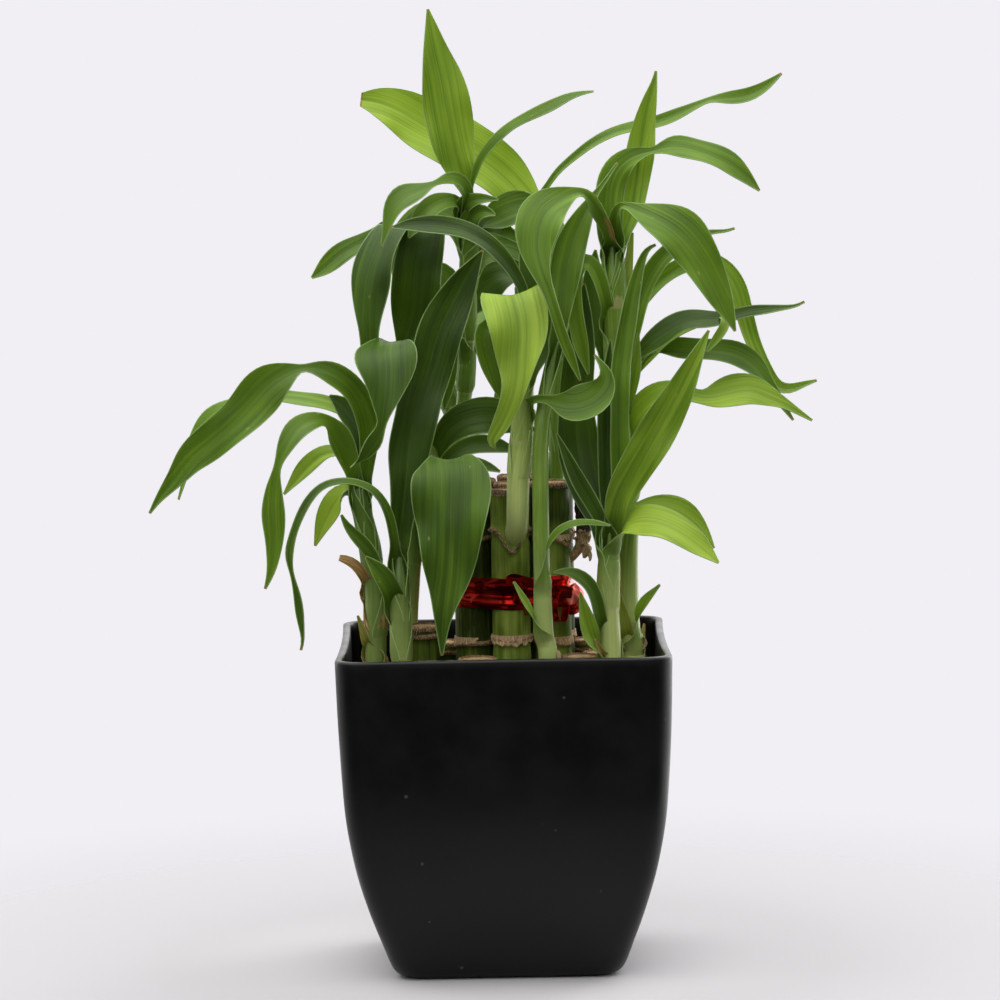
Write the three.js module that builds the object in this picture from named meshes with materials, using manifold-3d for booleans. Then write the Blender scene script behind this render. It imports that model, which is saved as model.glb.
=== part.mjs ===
// A bundle of lucky bamboo canes with leafy shoots, growing in a square black plastic pot.
// Units are millimetres, +Z is up and the origin is the centre of the pot's underside.
import * as THREE from "three";
import Module from "manifold-3d";

// Main sizes
const POT_HEIGHT = 108.5;
const POT_TOP_HALF = 55;
const POT_WALL = 2.6;
const POT_FLOOR = 3.5;
const POT_CORNER = 8;
const SIDE_PINCH = 0.8;
const SOIL_TOP = 90;
const CANE_FOOT = 52;
const CANE_RADIUS = 6.4;
const NODE_RIDGE = 0.5;
const TALL_RING = 15;
const SHORT_RING = 31;
const SHORT_RING_X = 2;
const BUNDLE_X = 4.2;
const RIBBON_BOTTOM = 120;
const RIBBON_TOP = 131.5;
const RIBBON_THICK = 0.9;
const GAP = 0.3;
const BLADE_THICK = 0.7;
const BLADE_CHANNEL = 0.1;
const BLADE_STEP = 10;
const STEM_SIDES = 8;
const CANE_SIDES = 10;

// Leaves and stems are laid out on a front elevation in the plane y = 0, drawn as seen from this eye.
const EYE = [0, -1650, 325.5];

const wasm = await Module();
wasm.setup();

// Each path point of a leaf is [x, z, depth y, width]; of a stem, [x, z, depth y, radius].
// "face" steers the upper side of a blade and "across" its width, from base to tip.
const SHOOTS = [
  {
    "name": "shoot_left_outer",
    "stem": [[-43, 62, -14, 3.4], [-42.8, 95, -14, 3.5], [-42.5, 120, -14, 3.5], [-43, 130, -14, 3.4],
      [-44, 140, -13.5, 3.2], [-46, 150, -13, 2.8], [-48, 160, -12, 2.5], [-50, 167, -11, 2]],
    "leaves": [
      {"name": "A", "path": [[-46, 154, -13, 3], [-44.5, 168, -15, 5], [-43.5, 179, -18, 7],
        [-46, 188.5, -20, 8], [-50, 194.5, -21.5, 8], [-56, 198.7, -22.5, 7.5],
        [-61.5, 200.2, -23, 4.5], [-65.8, 200.3, -23.5, 1.6], [-69, 199, -24, 7],
        [-76.5, 194.5, -25, 14.3], [-85.5, 185, -25, 13.6], [-96, 176.3, -24, 12.2],
        [-103, 170.8, -23, 9.8], [-108, 164.5, -22, 6.5], [-114, 157.5, -21.2, 2.6],
        [-117.3, 152.6, -21, 0.8]],
        "face": [[0.3, -1, 0.2], [0, -1, 0.4], [0, -1, 0.3], [0, -1, 0.3]]},
      {"name": "A3", "path": [[-46.5, 160, -12, 3], [-46, 170, -9, 4], [-47, 178, -6, 5.5],
        [-50, 184.5, -4, 7], [-53, 188.5, -3, 5.5], [-56.5, 191, -3, 0.9]],
        "face": [[0.3, -1, 0.3], [0, -1, 0.4]]},
      {"name": "A2", "path": [[-47, 158, -10, 3], [-46, 172, -6, 4], [-48, 183, -2, 5],
        [-57, 187.5, 2, 6.5], [-70, 190.3, 6, 7], [-85, 189, 8, 8], [-96, 183.5, 9, 8.5],
        [-102, 175, 9, 6], [-104.5, 166, 9, 2.5], [-107.5, 157, 9, 0.8]],
        "face": [[0.3, -1, 0.2], [0, -0.6, 1], [-0.5, -0.8, 0.5]]},
      {"name": "B", "path": [[-46, 150, -13, 3], [-48.5, 163, -15.5, 5], [-51.5, 172, -19, 7.5],
        [-54.5, 178.5, -22.5, 8], [-57.5, 182.7, -25, 3.5], [-62, 182.8, -28, 6.5],
        [-67, 180.3, -31, 8.5], [-71, 174.5, -33, 6], [-74.2, 167.5, -34, 2.2], [-75.6, 160, -34, 5.5],
        [-76, 152, -34, 7.8], [-75.8, 143, -34, 6], [-77, 133, -34, 3], [-79.3, 126.5, -34, 0.8]],
        "face": [[0.4, -1, 0], [0, -1, 0.5], [-0.3, -1, 0.3], [0, -1, 0], [0, -1, 0]]},
      {"name": "C", "path": [[-48.5, 160, -12, 2.5], [-49.5, 168, -8, 3.5], [-53, 171.6, -6, 4.5],
        [-57.5, 172, -5, 6], [-62, 169.5, -4, 6.3], [-66.5, 165.2, -3, 5], [-72.3, 158.2, -2, 0.8]],
        "face": [[0.3, -1, 0.6], [0, -1, 0.6]]},
      {"name": "D", "path": [[-47, 158, -12, 3], [-50, 159.5, -9, 6], [-54, 157, -6, 8.5],
        [-57.5, 151.5, -4, 7.5], [-60, 146.5, -3.5, 4.5], [-62.3, 140.7, -3, 0.8]],
        "face": [[-0.3, -1, 0.5], [-0.2, -1, 0]]},
      {"name": "F", "path": [[-41.8, 124, -16, 3], [-41.2, 132.5, -19, 4], [-43.5, 138, -20, 4.6],
        [-48, 143.3, -20, 4.2], [-51.5, 147.3, -20, 2.4], [-53.3, 151, -20, 0.8]],
        "face": [[-0.5, -1, 0.4], [-0.3, -1, 0.4]]},
      {"name": "dry_bract", "path": [[-44, 101, -15, 4], [-46, 110, -17, 3.5], [-48.5, 117, -18, 0.8]],
        "face": [[-0.6, -1, 0], [-0.6, -1, 0]]},
      {"name": "dry_curl", "path": [[-43.8, 121, -14, 3], [-44.8, 127, -16, 3.5],
        [-46.5, 131, -18, 3.6], [-49.5, 134.7, -19, 3.4], [-52.3, 136, -19, 3.2],
        [-54.3, 136.5, -19, 2]],
        "face": [[-0.3, -1, 0.3], [0, -1, 0.5]]},
    ],
  },
  {
    "name": "shoot_left_inner",
    "stem": [[-34, 62, -26, 3.4], [-34, 100, -27, 3.5], [-34.2, 118, -27, 3.4], [-34.4, 130, -27, 3],
      [-34, 142, -26, 2.4]],
    "leaves": [
      {"name": "G", "path": [[-34, 114, -28, 5], [-36, 122, -30.5, 6.5], [-38.7, 128.5, -32.5, 6.5],
        [-41.5, 132.3, -33.5, 5.5], [-45.5, 136.7, -34, 0.9]],
        "face": [[0, -1, 0.3], [0, -1, 0.3]]},
      {"name": "E", "path": [[-34.2, 128, -28, 3.2], [-36, 142, -31, 3.6], [-37.8, 151, -33, 3.8],
        [-41.5, 158, -35, 3.4], [-47, 161.3, -36, 3], [-53, 162, -37, 3], [-59.5, 160.2, -37, 3.4],
        [-65, 154.3, -37, 3.6], [-69, 146, -37, 2.8], [-70.8, 138, -37, 3.2], [-70.1, 131.5, -37, 1.4],
        [-68.5, 125, -37, 2.8], [-67.8, 118.5, -37, 3.2], [-67.2, 112, -37, 1.6],
        [-66.9, 108.5, -37, 1], [-67.8, 105.6, -37, 0.8]],
        "face": [[0.6, -1, 0.3], [0, -0.7, 1], [-0.6, -1, 0], [0, -1, 0]]},
      {"name": "H", "path": [[-34, 138, -26, 4], [-33, 150, -25, 8], [-31.5, 162, -24, 12],
        [-30, 175, -22, 14.5], [-27, 188, -20, 15], [-23, 200, -17, 15.5], [-19.5, 212, -15, 15.5],
        [-14, 223, -12, 12], [-10, 230, -10, 8], [-4.5, 238.5, -8, 0.8]],
        "face": [[0.3, -1, 0], [0.3, -1, 0]]},
    ],
  },
  {
    "name": "shoot_left_back",
    "stem": [[-34, 62, -3, 2.9], [-31.5, 112, -4.5, 2.9], [-30.5, 125, -6, 2.8], [-29.5, 135, -7, 2.6],
      [-28.5, 145, -8, 2.3], [-27, 153, -10, 2]],
    "leaves": [
      {"name": "K", "path": [[-28.5, 147, -9, 3], [-25, 156, -12, 4.5], [-20, 164, -18, 6],
        [-17.5, 168.5, -25, 10], [-16.8, 168.3, -31, 17], [-16.3, 163, -36, 25], [-16.8, 152, -39, 25],
        [-17, 145, -40, 22], [-18, 130, -40, 15], [-20, 116, -39.5, 6], [-20.6, 103, -39, 0.9]],
        "across": [[-1, 0, 0], [-1, 0, 0]]},
    ],
  },
  {
    "name": "shoot_left_tall",
    "stem": [[-9, 141, -5, 3.2], [-15, 147, -2, 3.2], [-21, 160, 2, 3], [-26, 185, 5, 2.8],
      [-30, 215, 7, 2.6], [-33, 238, 7, 2.4], [-35.5, 248, 6, 2]],
    "leaves": [
      {"name": "X", "path": [[-34, 236, 6, 4], [-32.5, 245, 2, 7], [-34, 247, -6, 11],
        [-37.5, 240, -12, 14], [-41, 231, -15, 15], [-42.3, 222, -16, 11.5], [-42.5, 212, -16, 7],
        [-42.3, 203, -15, 5.5], [-42.3, 193, -14, 0.8]],
        "face": [[1, 0.3, 0.3], [-0.4, -0.7, 0.8], [-0.3, -1, 0.2], [-0.2, -1, 0]]},
      {"name": "Y", "path": [[-33, 238, 7, 4], [-28, 246, 4, 8], [-24, 246, -1, 13],
        [-24.8, 240, -4, 15], [-26.3, 232, -4, 16.5], [-27.3, 222, -3, 16], [-29.5, 212, -1, 10.5],
        [-33, 204, 0, 0.8]],
        "face": [[0, 0.3, 1], [0, -0.8, 0.8], [0, -1, 0.1], [0, -1, 0]]},
      {"name": "Z2", "path": [[-35.5, 247, 5, 3], [-38.5, 245.5, 4, 3.5], [-44, 242, 3, 6],
        [-51, 238.5, 2, 7.5], [-57, 233.5, 1, 5.5], [-61.5, 230.3, 1, 0.8]],
        "face": [[0, -1, 0.6], [0, -1, 0.4]]},
      {"name": "I", "path": [[-28.5, 196, 6, 3], [-32, 203, 0, 4], [-34.5, 207, -8, 5],
        [-35.5, 208.5, -16, 8], [-37, 207.5, -24, 14], [-37.5, 204.5, -30, 20], [-37.2, 200, -33, 20.5],
        [-37.5, 193.5, -35, 13.5], [-38.5, 186, -36, 6.5], [-39.2, 180.8, -36, 2.4],
        [-41.5, 176, -35.5, 5.5], [-45, 171.5, -35, 4.6], [-50, 166.8, -34, 0.8]],
        "across": [[-1, 0, 0], [-1, 0, 0], [-1, 0, 0], [-0.7, 0, -0.7]]},
      {"name": "N1", "path": [[-22, 165, 2, 3], [-20, 174, 1, 6], [-14, 181, 0, 11],
        [-5, 183.5, 0, 12.5], [3, 182, 1, 10], [12, 178, 2, 0.8]],
        "face": [[0, -1, 0.2], [0, -1, 0.2]]},
      {"name": "N2", "path": [[-21, 158, 1, 3], [-18, 168, -4, 5], [-11, 173, -6, 6],
        [-2, 173.5, -6, 6], [6, 171, -6, 0.8]],
        "face": [[0, -1, 0.4], [0, -1, 0.4]]},
      {"name": "N3", "path": [[-19, 153, 0, 2.5], [-18, 162, -7, 4], [-12, 167, -9, 5],
        [-5, 166.5, -10, 4], [0, 164.5, -10, 0.8]],
        "face": [[0, -1, 0.6], [0, -1, 0.6]]},
    ],
  },
  {
    "name": "shoot_centre_back",
    "stem": [[-8, 142, 9, 2.8], [-14, 146, 11, 2.8], [-17, 153, 12, 2.8], [-16, 168, 12, 2.7],
      [-12, 186, 11, 2.5], [-10, 208, 10, 2.3], [-9.5, 235, 8, 2.2], [-9, 254, 5, 2]],
    "leaves": [
      {"name": "AA", "path": [[-9, 250, 5, 4], [-11, 262, 3, 8], [-13.5, 273, 2, 14],
        [-15.5, 285, 1, 16.5], [-17, 295, 1, 14], [-19, 305, 1, 8.5], [-21.2, 318.5, 1, 0.8]],
        "face": [[0.2, -1, 0], [0.2, -1, 0]]},
      {"name": "AD", "path": [[-8.5, 250, 4, 2.5], [-7, 262, 1, 2.8], [-4, 269.5, -1, 3],
        [1, 275.5, -2, 4], [6, 279.3, -3, 4.5], [12, 282, -3, 5], [18, 285, -3, 5], [24, 288, -3, 4.5],
        [29, 289.7, -3, 2.2], [33.2, 290.4, -3, 0.8]],
        "face": [[-0.7, -1, 0], [0, -0.8, 1], [0, -0.8, 1]]},
      {"name": "Z1", "path": [[-9, 248, 4, 3], [-9.3, 256, 0, 5], [-11.5, 261, -4, 6.5],
        [-15.5, 261.7, -7, 6], [-20, 260.8, -10, 1.8], [-25, 258.6, -13, 7], [-30, 256.8, -15, 9.3],
        [-33.8, 253, -16.5, 6.5], [-35.8, 247.5, -17.5, 3.4], [-38, 240.5, -18, 0.8]],
        "face": [[0.5, -1, 0.2], [0, -0.8, 0.8], [0, -0.8, 0.8], [-0.3, -1, 0.3]]},
      {"name": "AE1", "path": [[-9.3, 246, 6, 3], [-12, 254, 2, 5], [-17, 254.5, -4, 8],
        [-22, 252, -8, 8], [-26, 247.5, -10, 6], [-29, 243, -11, 0.8]],
        "face": [[0, -1, 0.5], [0, -0.8, 0.8], [-0.3, -1, 0.3]]},
      {"name": "AE2", "path": [[-9.4, 244, 7, 3], [-11.5, 252, 2, 6], [-8, 255, 0, 5],
        [-3, 255.6, -1, 2.8], [1, 255.2, -1, 0.8]],
        "face": [[0, -1, 0.4], [0, -1, 0.4]]},
      {"name": "AE3", "path": [[-9.5, 238, 8, 4], [-9, 246, 3, 8], [-6.5, 250.5, 0, 7],
        [-3, 251.3, -2, 4], [0, 250, -3, 0.8]],
        "face": [[0, -1, 0.4], [0, -1, 0.4]]},
      {"name": "AE4", "path": [[-9.5, 236, 8, 3], [-4, 245, 6, 4], [1, 245.7, 5, 5], [5, 243.5, 4, 4],
        [9, 240, 4, 0.8]],
        "face": [[0, -1, 0.4], [0, -1, 0.4]]},
      {"name": "AF", "path": [[-9.2, 243, 7, 3], [-3, 248, 5, 8], [3, 251, 3, 12], [9, 253, 2, 11],
        [17, 252, 1, 0.8]],
        "face": [[0, -1, 0.4], [0, -1, 0.4]]},
      {"name": "AE5", "path": [[-9.5, 236, 8, 4], [-13, 246, 13, 9], [-19, 250.5, 16, 12],
        [-26, 248, 18, 12], [-32, 240, 19, 8], [-35, 232, 19, 0.8]],
        "face": [[0.3, -1, 0.4], [0, -1, 0.6], [-0.3, -1, 0.3]]},
      {"name": "AE6", "path": [[-9.7, 226, 9, 4], [-5, 236, 12, 9], [0, 240, 13, 12], [6, 240, 14, 11],
        [12, 235, 15, 7], [17, 228, 15, 0.8]],
        "face": [[-0.3, -1, 0.4], [0, -1, 0.5], [0.3, -1, 0.3]]},
      {"name": "AE7", "path": [[-10, 212, 10, 4], [-14, 222, 13, 8], [-18, 229, 15, 10],
        [-22, 231, 17, 9], [-27, 228, 18, 5], [-31, 221, 18, 0.8]],
        "face": [[0.3, -1, 0.4], [0, -1, 0.5], [-0.3, -1, 0.3]]},
      {"name": "O", "path": [[-10.3, 203, 10, 3], [-13, 210, 6, 4.5], [-15, 208, 3, 5.5],
        [-16, 200, 1, 5.5], [-17, 192, 1, 4], [-18.3, 185.5, 1, 0.8]],
        "face": [[0.5, 0.2, 1], [-0.2, -1, 0.5], [-0.2, -1, 0]]},
    ],
  },
  {
    "name": "shoot_back_centre",
    "stem": [[5.5, 142, 15, 2.9], [7, 146, 21, 2.9], [8, 155, 24, 2.9], [9, 180, 25, 2.7],
      [9, 215, 25, 2.5], [8, 240, 24, 2.3], [8, 251, 23, 2]],
    "leaves": [
      {"name": "AB", "path": [[8, 240, 24, 4], [11, 252, 22, 9], [5, 261, 22, 15], [-3, 268, 22, 18],
        [-12, 274, 22, 19], [-22, 279.5, 22, 18.5], [-31, 285, 22, 15], [-38, 288, 22, 10],
        [-44, 289, 22, 4.5]],
        "face": [[-0.2, -1, 0.5], [0, -1, 0.3], [0, -1, 0.2]]},
      {"name": "AG", "path": [[8.3, 228, 25, 4], [4, 231, 21, 14], [-3, 229, 20, 16],
        [-10, 222, 19, 13], [-16, 215, 18, 5], [-20, 209, 18, 0.8]],
        "face": [[0, -1, 0.6], [0, -1, 0.3]]},
      {"name": "AI", "path": [[8.3, 244, 24, 3], [13, 253, 17, 3], [18, 260, 11, 3], [21, 264, 9, 3],
        [27, 269, 8, 3.2], [33, 273.5, 7, 3.5], [40, 276.8, 7, 4.5], [47, 278.3, 7, 5],
        [54, 279.7, 7, 4.5], [60, 281.8, 7, 4.5], [67, 285, 7, 3], [71.5, 287, 7, 2],
        [77, 287.3, 7, 4.5], [84, 288, 7, 5], [90, 291, 7, 3.5], [95.5, 295.3, 7, 0.8]],
        "face": [[-0.3, -1, 1], [0, -1, 1], [0, -1, 0.7], [0, -1, 0.4]]},
    ],
  },
  {
    "name": "shoot_centre_front",
    "stem": [[4, 141, -17, 3.6], [5.3, 146, -22, 3.7], [5.6, 152, -24.5, 3.7], [6, 162, -25, 3.7],
      [6.9, 172, -25, 3.5], [7.5, 182, -25, 3], [7, 200, -25, 2.6], [6.2, 210, -25, 2.2]],
    "leaves": [
      {"name": "R", "path": [[6.5, 204, -25, 4], [5.5, 216, -26, 8], [4.5, 222.5, -30, 15],
        [4.7, 223.5, -34, 21], [6, 219, -38, 21.5], [7, 212, -40, 19.5], [6.3, 203, -41, 14],
        [5.5, 194, -42, 9], [3.5, 187, -42, 7], [0, 179.5, -41, 5.5], [-3.2, 174.5, -40, 3],
        [-1.5, 172.3, -39, 0.8]],
        "across": [[-1, 0, 0], [-1, 0, 0], [-1, 0, 0], [-0.8, 0, 0.5]]},
      {"name": "Q", "path": [[6.8, 196, -26, 3], [2, 208, -28, 4], [-2, 213.5, -29, 6],
        [-4.5, 211, -30, 6.5], [-3.5, 204, -30, 7], [-1, 197, -30, 6.5], [1, 188, -29, 0.8]],
        "face": [[0, -1, 0.3], [0, -1, 0.3], [0, -1, 0]]},
      {"name": "J", "path": [[6.5, 206, -25, 3], [9, 216, -24, 4], [8.8, 224, -25, 4],
        [5, 231.5, -26, 5], [0, 238, -27, 6.5], [-6, 242.8, -28, 7.4], [-12, 245.4, -28, 7.4],
        [-20, 246.9, -28, 6.8], [-28, 247.2, -27, 4.8], [-34.5, 246.6, -27, 0.8]],
        "face": [[-0.5, -1, 0], [0.5, -1, 0.7], [0, -1, 0.8], [0, -1, 0.5]]},
      {"name": "AX", "path": [[7.4, 181, -25, 3], [10, 187.5, -29, 3], [14, 188.6, -33, 2.6],
        [18.5, 187.6, -36, 4], [23.3, 186.2, -38, 11], [29, 187.2, -39, 12.5], [33.8, 190.4, -39, 10.5],
        [36.2, 195.5, -38.5, 5], [34.5, 199.8, -38, 2], [32, 203, -37, 0.8]],
        "face": [[0, -1, 0.4], [0, -1, 0.4]]},
      {"name": "RB", "path": [[6.8, 190, -24, 3], [11, 200, -20, 8], [14, 212, -17, 12],
        [14, 226, -15, 12], [12, 238, -14, 9], [10, 247, -14, 0.8]],
        "face": [[0, -1, 0.1], [0, -1, 0.1]]},
    ],
  },
  {
    "name": "shoot_centre_slender",
    "stem": [[15, 62, -29, 2.7], [15, 101, -30, 2.8], [13.7, 110, -30, 2.8], [13.3, 130, -30, 2.7],
      [13.3, 150, -30, 2.7], [13.5, 170, -29, 2.6], [14.5, 182, -28, 2.5], [17, 196, -26, 2.2],
      [20.2, 208, -24, 2]],
    "leaves": [
      {"name": "V", "path": [[19.5, 204, -24, 3], [21.2, 218, -23, 7], [22.7, 230, -21, 10],
        [25, 240, -19, 10.5], [29, 249, -17, 6.5], [32.5, 255.5, -15, 2.5], [36, 260, -14, 1.5],
        [40.7, 266.7, -13, 0.8]],
        "face": [[0, -1, 0.1], [0, -1, 0.1]]},
      {"name": "AY", "path": [[13.3, 124, -30, 2.5], [14, 132, -33, 3], [15.5, 138.5, -35, 3.5],
        [18, 142.7, -36, 4], [22, 145.5, -37, 4], [27, 146.7, -38, 4], [32, 146.5, -38, 3],
        [36.5, 145.7, -38, 0.8]],
        "face": [[-0.7, -0.7, 0.5], [0, -0.6, 1], [0, -0.6, 1]]},
      {"name": "AZ", "path": [[13.6, 107, -30, 2.5], [11.5, 112.5, -33, 3], [8.5, 119, -34, 3.2],
        [3.8, 127.5, -35, 0.8]],
        "face": [[0.3, -1, 0.5], [0.3, -1, 0.5]]},
    ],
  },
  {
    "name": "shoot_right_front",
    "stem": [[36.5, 62, -21, 3.4], [36, 102, -22, 3.5], [35.5, 120, -22, 3.4], [35.8, 132, -22, 3.2],
      [36.2, 144, -22, 2.6]],
    "leaves": [
      {"name": "BC", "path": [[36, 137, -22, 4], [40, 144, -25, 8], [46, 147, -28, 11],
        [54, 146, -31, 12], [62, 141.5, -33, 9.5], [68, 136.5, -34, 5.5], [72.5, 132.5, -35, 0.8]],
        "face": [[-0.5, -1, 0.6], [0, -1, 0.6], [0.2, -1, 0.5]]},
      {"name": "BD", "path": [[36, 139, -21, 3], [43, 148, -18, 6], [52, 152, -17, 8],
        [60, 150, -17, 8.5], [66, 145, -17, 5.5], [71, 137.5, -18, 0.8]],
        "face": [[-0.3, -1, 0.6], [0, -1, 0.6]]},
      {"name": "AR", "path": [[36, 137, -22, 3.5], [37.5, 146, -24, 6], [40, 156, -28, 9.5],
        [46, 166.5, -30, 12], [53, 178, -31, 12.5], [59.5, 189, -32, 10], [65, 200, -33, 5.5],
        [70.2, 210.5, -33, 0.8]],
        "face": [[0.1, -1, 0.1], [0.1, -1, 0.1]]},
      {"name": "BE", "path": [[36, 137, -22, 3], [34, 146, -25, 4], [30, 154, -27, 5],
        [25, 163, -28, 5], [19, 177, -28, 0.8]],
        "face": [[0.1, -1, 0.1], [0.1, -1, 0.1]]},
      {"name": "BF", "path": [[35.8, 135, -21, 4], [33, 146, -18, 8], [28.5, 160, -14, 13],
        [26, 172, -11, 14], [25.5, 184, -10, 12], [26, 194, -10, 11.5], [27, 205, -9, 10],
        [28, 216, -8, 7], [29, 227, -8, 0.8]],
        "face": [[0.2, -1, 0.1], [0.1, -1, 0.1]]},
      {"name": "BG", "path": [[36, 141, -22, 3], [36, 155, -20, 6], [36, 170, -19, 7],
        [36, 185, -18, 6.5], [36.5, 197, -18, 4], [37.5, 208, -18, 0.8]],
        "face": [[0.1, -1, 0.1], [0.1, -1, 0.1]]},
      {"name": "AT", "path": [[36.3, 140, -22, 3], [39, 152, -25, 5], [40, 166, -26, 6.5],
        [40, 180, -26, 6.5], [40.5, 197, -25, 6.5], [43, 213, -23, 6], [45.8, 226, -22, 4.5],
        [48.5, 235, -21, 2.5], [50.5, 238.5, -21, 1.4], [53, 239.3, -21, 0.8]],
        "face": [[0.2, -1, 0], [0.2, -1, 0.2]]},
      {"name": "BA", "path": [[35.5, 103, -23, 3], [33, 112, -26, 4.2], [31.8, 119, -28, 4.5],
        [29.5, 125.5, -29, 4.5], [25, 129.5, -30, 4.5], [21, 130.5, -30, 3], [17.2, 130.3, -30, 0.8]],
        "face": [[0.3, -1, 0.1], [0.2, -1, 0.4], [0, -0.8, 1]]},
      {"name": "BB", "path": [[35.5, 99, -23, 3], [31.5, 104, -27, 5], [28.5, 112, -29, 6],
        [26, 123.5, -30, 0.8]],
        "face": [[0.3, -1, 0.2], [0.3, -1, 0.2]]},
      {"name": "dry_blade", "path": [[35.2, 98, -24, 3], [33, 103, -27, 2.5], [30.8, 107.5, -29, 0.8]],
        "face": [[0.3, -1, 0.2], [0.3, -1, 0.2]]},
    ],
  },
  {
    "name": "shoot_right_tall",
    "stem": [[43.5, 62, -8, 3.3], [43, 101, -8, 3.5], [42.3, 115, -8, 3.4], [42.2, 130, -8, 3.3],
      [42.5, 140, -8, 3.2], [43, 152, -8, 3], [42, 170, -8, 3], [40, 190, -8, 3.6], [39.3, 215, -8, 4],
      [38.8, 232, -8, 3.6], [38.5, 243, -8, 2.6]],
    "leaves": [
      {"name": "W", "path": [[38.6, 236, -8, 5], [37.5, 248, -8, 9], [38, 258, -7.5, 10],
        [40.5, 264.5, -7, 9.5], [44.5, 268, -7, 7.5], [49, 269.6, -7.5, 4.5], [53, 270.3, -8.5, 2],
        [56.5, 271.3, -9.5, 5.5], [61, 271.6, -10, 9.3], [67, 270.2, -10, 10], [73, 268, -10, 9.8],
        [78.5, 264.9, -10, 8], [83, 261.2, -10, 5], [87.7, 256.6, -10, 0.8]],
        "face": [[0.3, -1, 0], [0.2, -1, 0.5], [0, -0.9, 0.9], [0, -1, 0.6]]},
      {"name": "AH", "path": [[39.5, 236, -7, 4], [44, 247, -4, 6], [46, 256, -3, 8.5],
        [47.7, 267, -2, 9.5], [49.5, 278, -2, 8], [51.8, 288, -2, 4.5], [53.3, 293, -2, 2],
        [53.9, 296.8, -2, 0.8]],
        "face": [[0.1, -1, 0], [0.1, -1, 0]]},
      {"name": "AJ", "path": [[39, 236, -9, 4], [39.6, 246, -12, 5], [40.8, 251.5, -15, 4],
        [42.5, 252.8, -17.5, 1.8], [47, 250.8, -20, 5.5], [53, 248.2, -23, 11.5],
        [60.5, 243.3, -25, 16.2], [66.7, 235.8, -26, 14.2], [71.3, 227.3, -26, 11], [75.2, 219, -26, 7],
        [77.6, 213.8, -26, 3.2], [79, 210, -26, 0.8]],
        "face": [[-0.5, -1, 0.2], [0, -1, 0.6], [0, -1, 0.5], [0.2, -1, 0.2]]},
      {"name": "AU", "path": [[42, 194, -7, 3], [44, 206, -4, 5], [47, 220, -2, 6], [52, 231, -1, 6],
        [58, 237.5, 0, 5.5], [65, 241.5, 0, 3.5], [72, 243.3, 0, 1.6], [76, 243.2, 0, 1.2],
        [79.3, 244.3, 0, 0.8]],
        "face": [[0.1, -1, 0.2], [0, -1, 0.5]]},
      {"name": "AL", "path": [[39.4, 205, -7, 3], [45, 216, 2, 4], [54, 227, 5, 5], [64, 233, 6, 6],
        [73, 232.5, 5, 6.5], [79, 226, 4, 6.5], [82, 216, 3, 6], [84.5, 207, 3, 5.5], [88, 199, 3, 4.5],
        [92, 192, 3, 4], [96.5, 190.3, 2, 3.5], [101, 191.8, 2, 2.2], [106, 193.2, 2, 0.8]],
        "face": [[-0.3, -1, 0.3], [0, -1, 0.4], [0.3, -1, 0.2], [0, -1, 0.4]]},
      {"name": "AO", "path": [[41, 188, -9, 3], [44, 198, -11, 4.5], [48.5, 204, -13, 6.5],
        [55, 209.2, -14, 8.5], [62, 213, -15, 10], [68, 214, -15, 9.5], [73.5, 214, -15, 6.5],
        [79, 215, -15, 5.2], [84, 216.2, -15, 4.6], [90, 217, -15, 3.2], [96, 217.7, -15, 1.8],
        [99.5, 218, -15, 1], [102.2, 219.5, -15, 0.8]],
        "face": [[-0.3, -1, 0.3], [0, -0.8, 1], [0, -0.9, 0.8], [0, -1, 0.2]]},
      {"name": "AO2", "path": [[41, 186, -8, 3], [46, 197, -6, 4], [54, 206, -5, 5], [63, 211, -6, 5],
        [70, 214, -9, 4.5], [75, 215.5, -14, 3.5], [76, 212.5, -18, 3], [73, 208, -19, 3],
        [69.3, 203.3, -19, 0.8]],
        "face": [[-0.3, -1, 0.3], [0, -0.8, 1], [0, -1, 0.5], [0, -1, 0]]},
      {"name": "AP", "path": [[41, 184, -8, 3], [44.5, 196, -6, 4], [48.5, 202.5, -5, 3],
        [52.5, 204.6, -5, 2.5], [57, 204.9, -5, 6.5], [64, 204.3, -5, 8], [72, 203.6, -5, 8.5],
        [79, 202.4, -6, 8.3], [85, 198.7, -7, 7.5], [89, 193.5, -8, 5], [92.5, 188, -8, 3.4],
        [98, 180, -8, 0.8]],
        "face": [[-0.3, -1, 0.3], [0, -1, 0.6], [0.2, -1, 0.4]]},
      {"name": "AQ", "path": [[42, 166, -8, 3], [43.2, 177, -11, 6], [47.5, 184.5, -14, 9],
        [54, 189, -16.5, 9.5], [61, 190, -18, 7], [67, 188, -18, 4.5], [71.5, 188, -18, 9],
        [78, 189.6, -18, 12], [84, 190.4, -18, 10.8], [90, 188, -18, 7], [95.5, 185.3, -18, 3.5],
        [104.3, 179.8, -18, 0.8]],
        "face": [[-0.3, -1, 0.3], [0, -1, 0.6], [0, -1, 0.4]]},
      {"name": "BH", "path": [[42.5, 104, -9, 3], [44.5, 112, -13, 3.5], [47, 119, -14, 4],
        [52.8, 125.6, -14, 0.8]],
        "face": [[-0.3, -1, 0.6], [-0.3, -1, 0.6]]},
      {"name": "T", "path": [[38.6, 234, -9, 3], [37.5, 243.5, -15, 4.2], [34, 250.5, -20, 4.6],
        [30.5, 256, -25, 4.2], [27.2, 257.2, -28, 3], [22.5, 255.3, -31.5, 8], [17, 252, -34.5, 15.5],
        [14, 246.5, -37, 15], [13, 239.5, -39, 11.5], [14.2, 232.5, -41, 7.2], [16.6, 225.5, -42, 4.2],
        [19, 218, -43, 3.6], [21.2, 210.5, -42, 3.6], [23.8, 203.5, -40, 3.4], [27.2, 194.5, -38, 0.8]],
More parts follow.
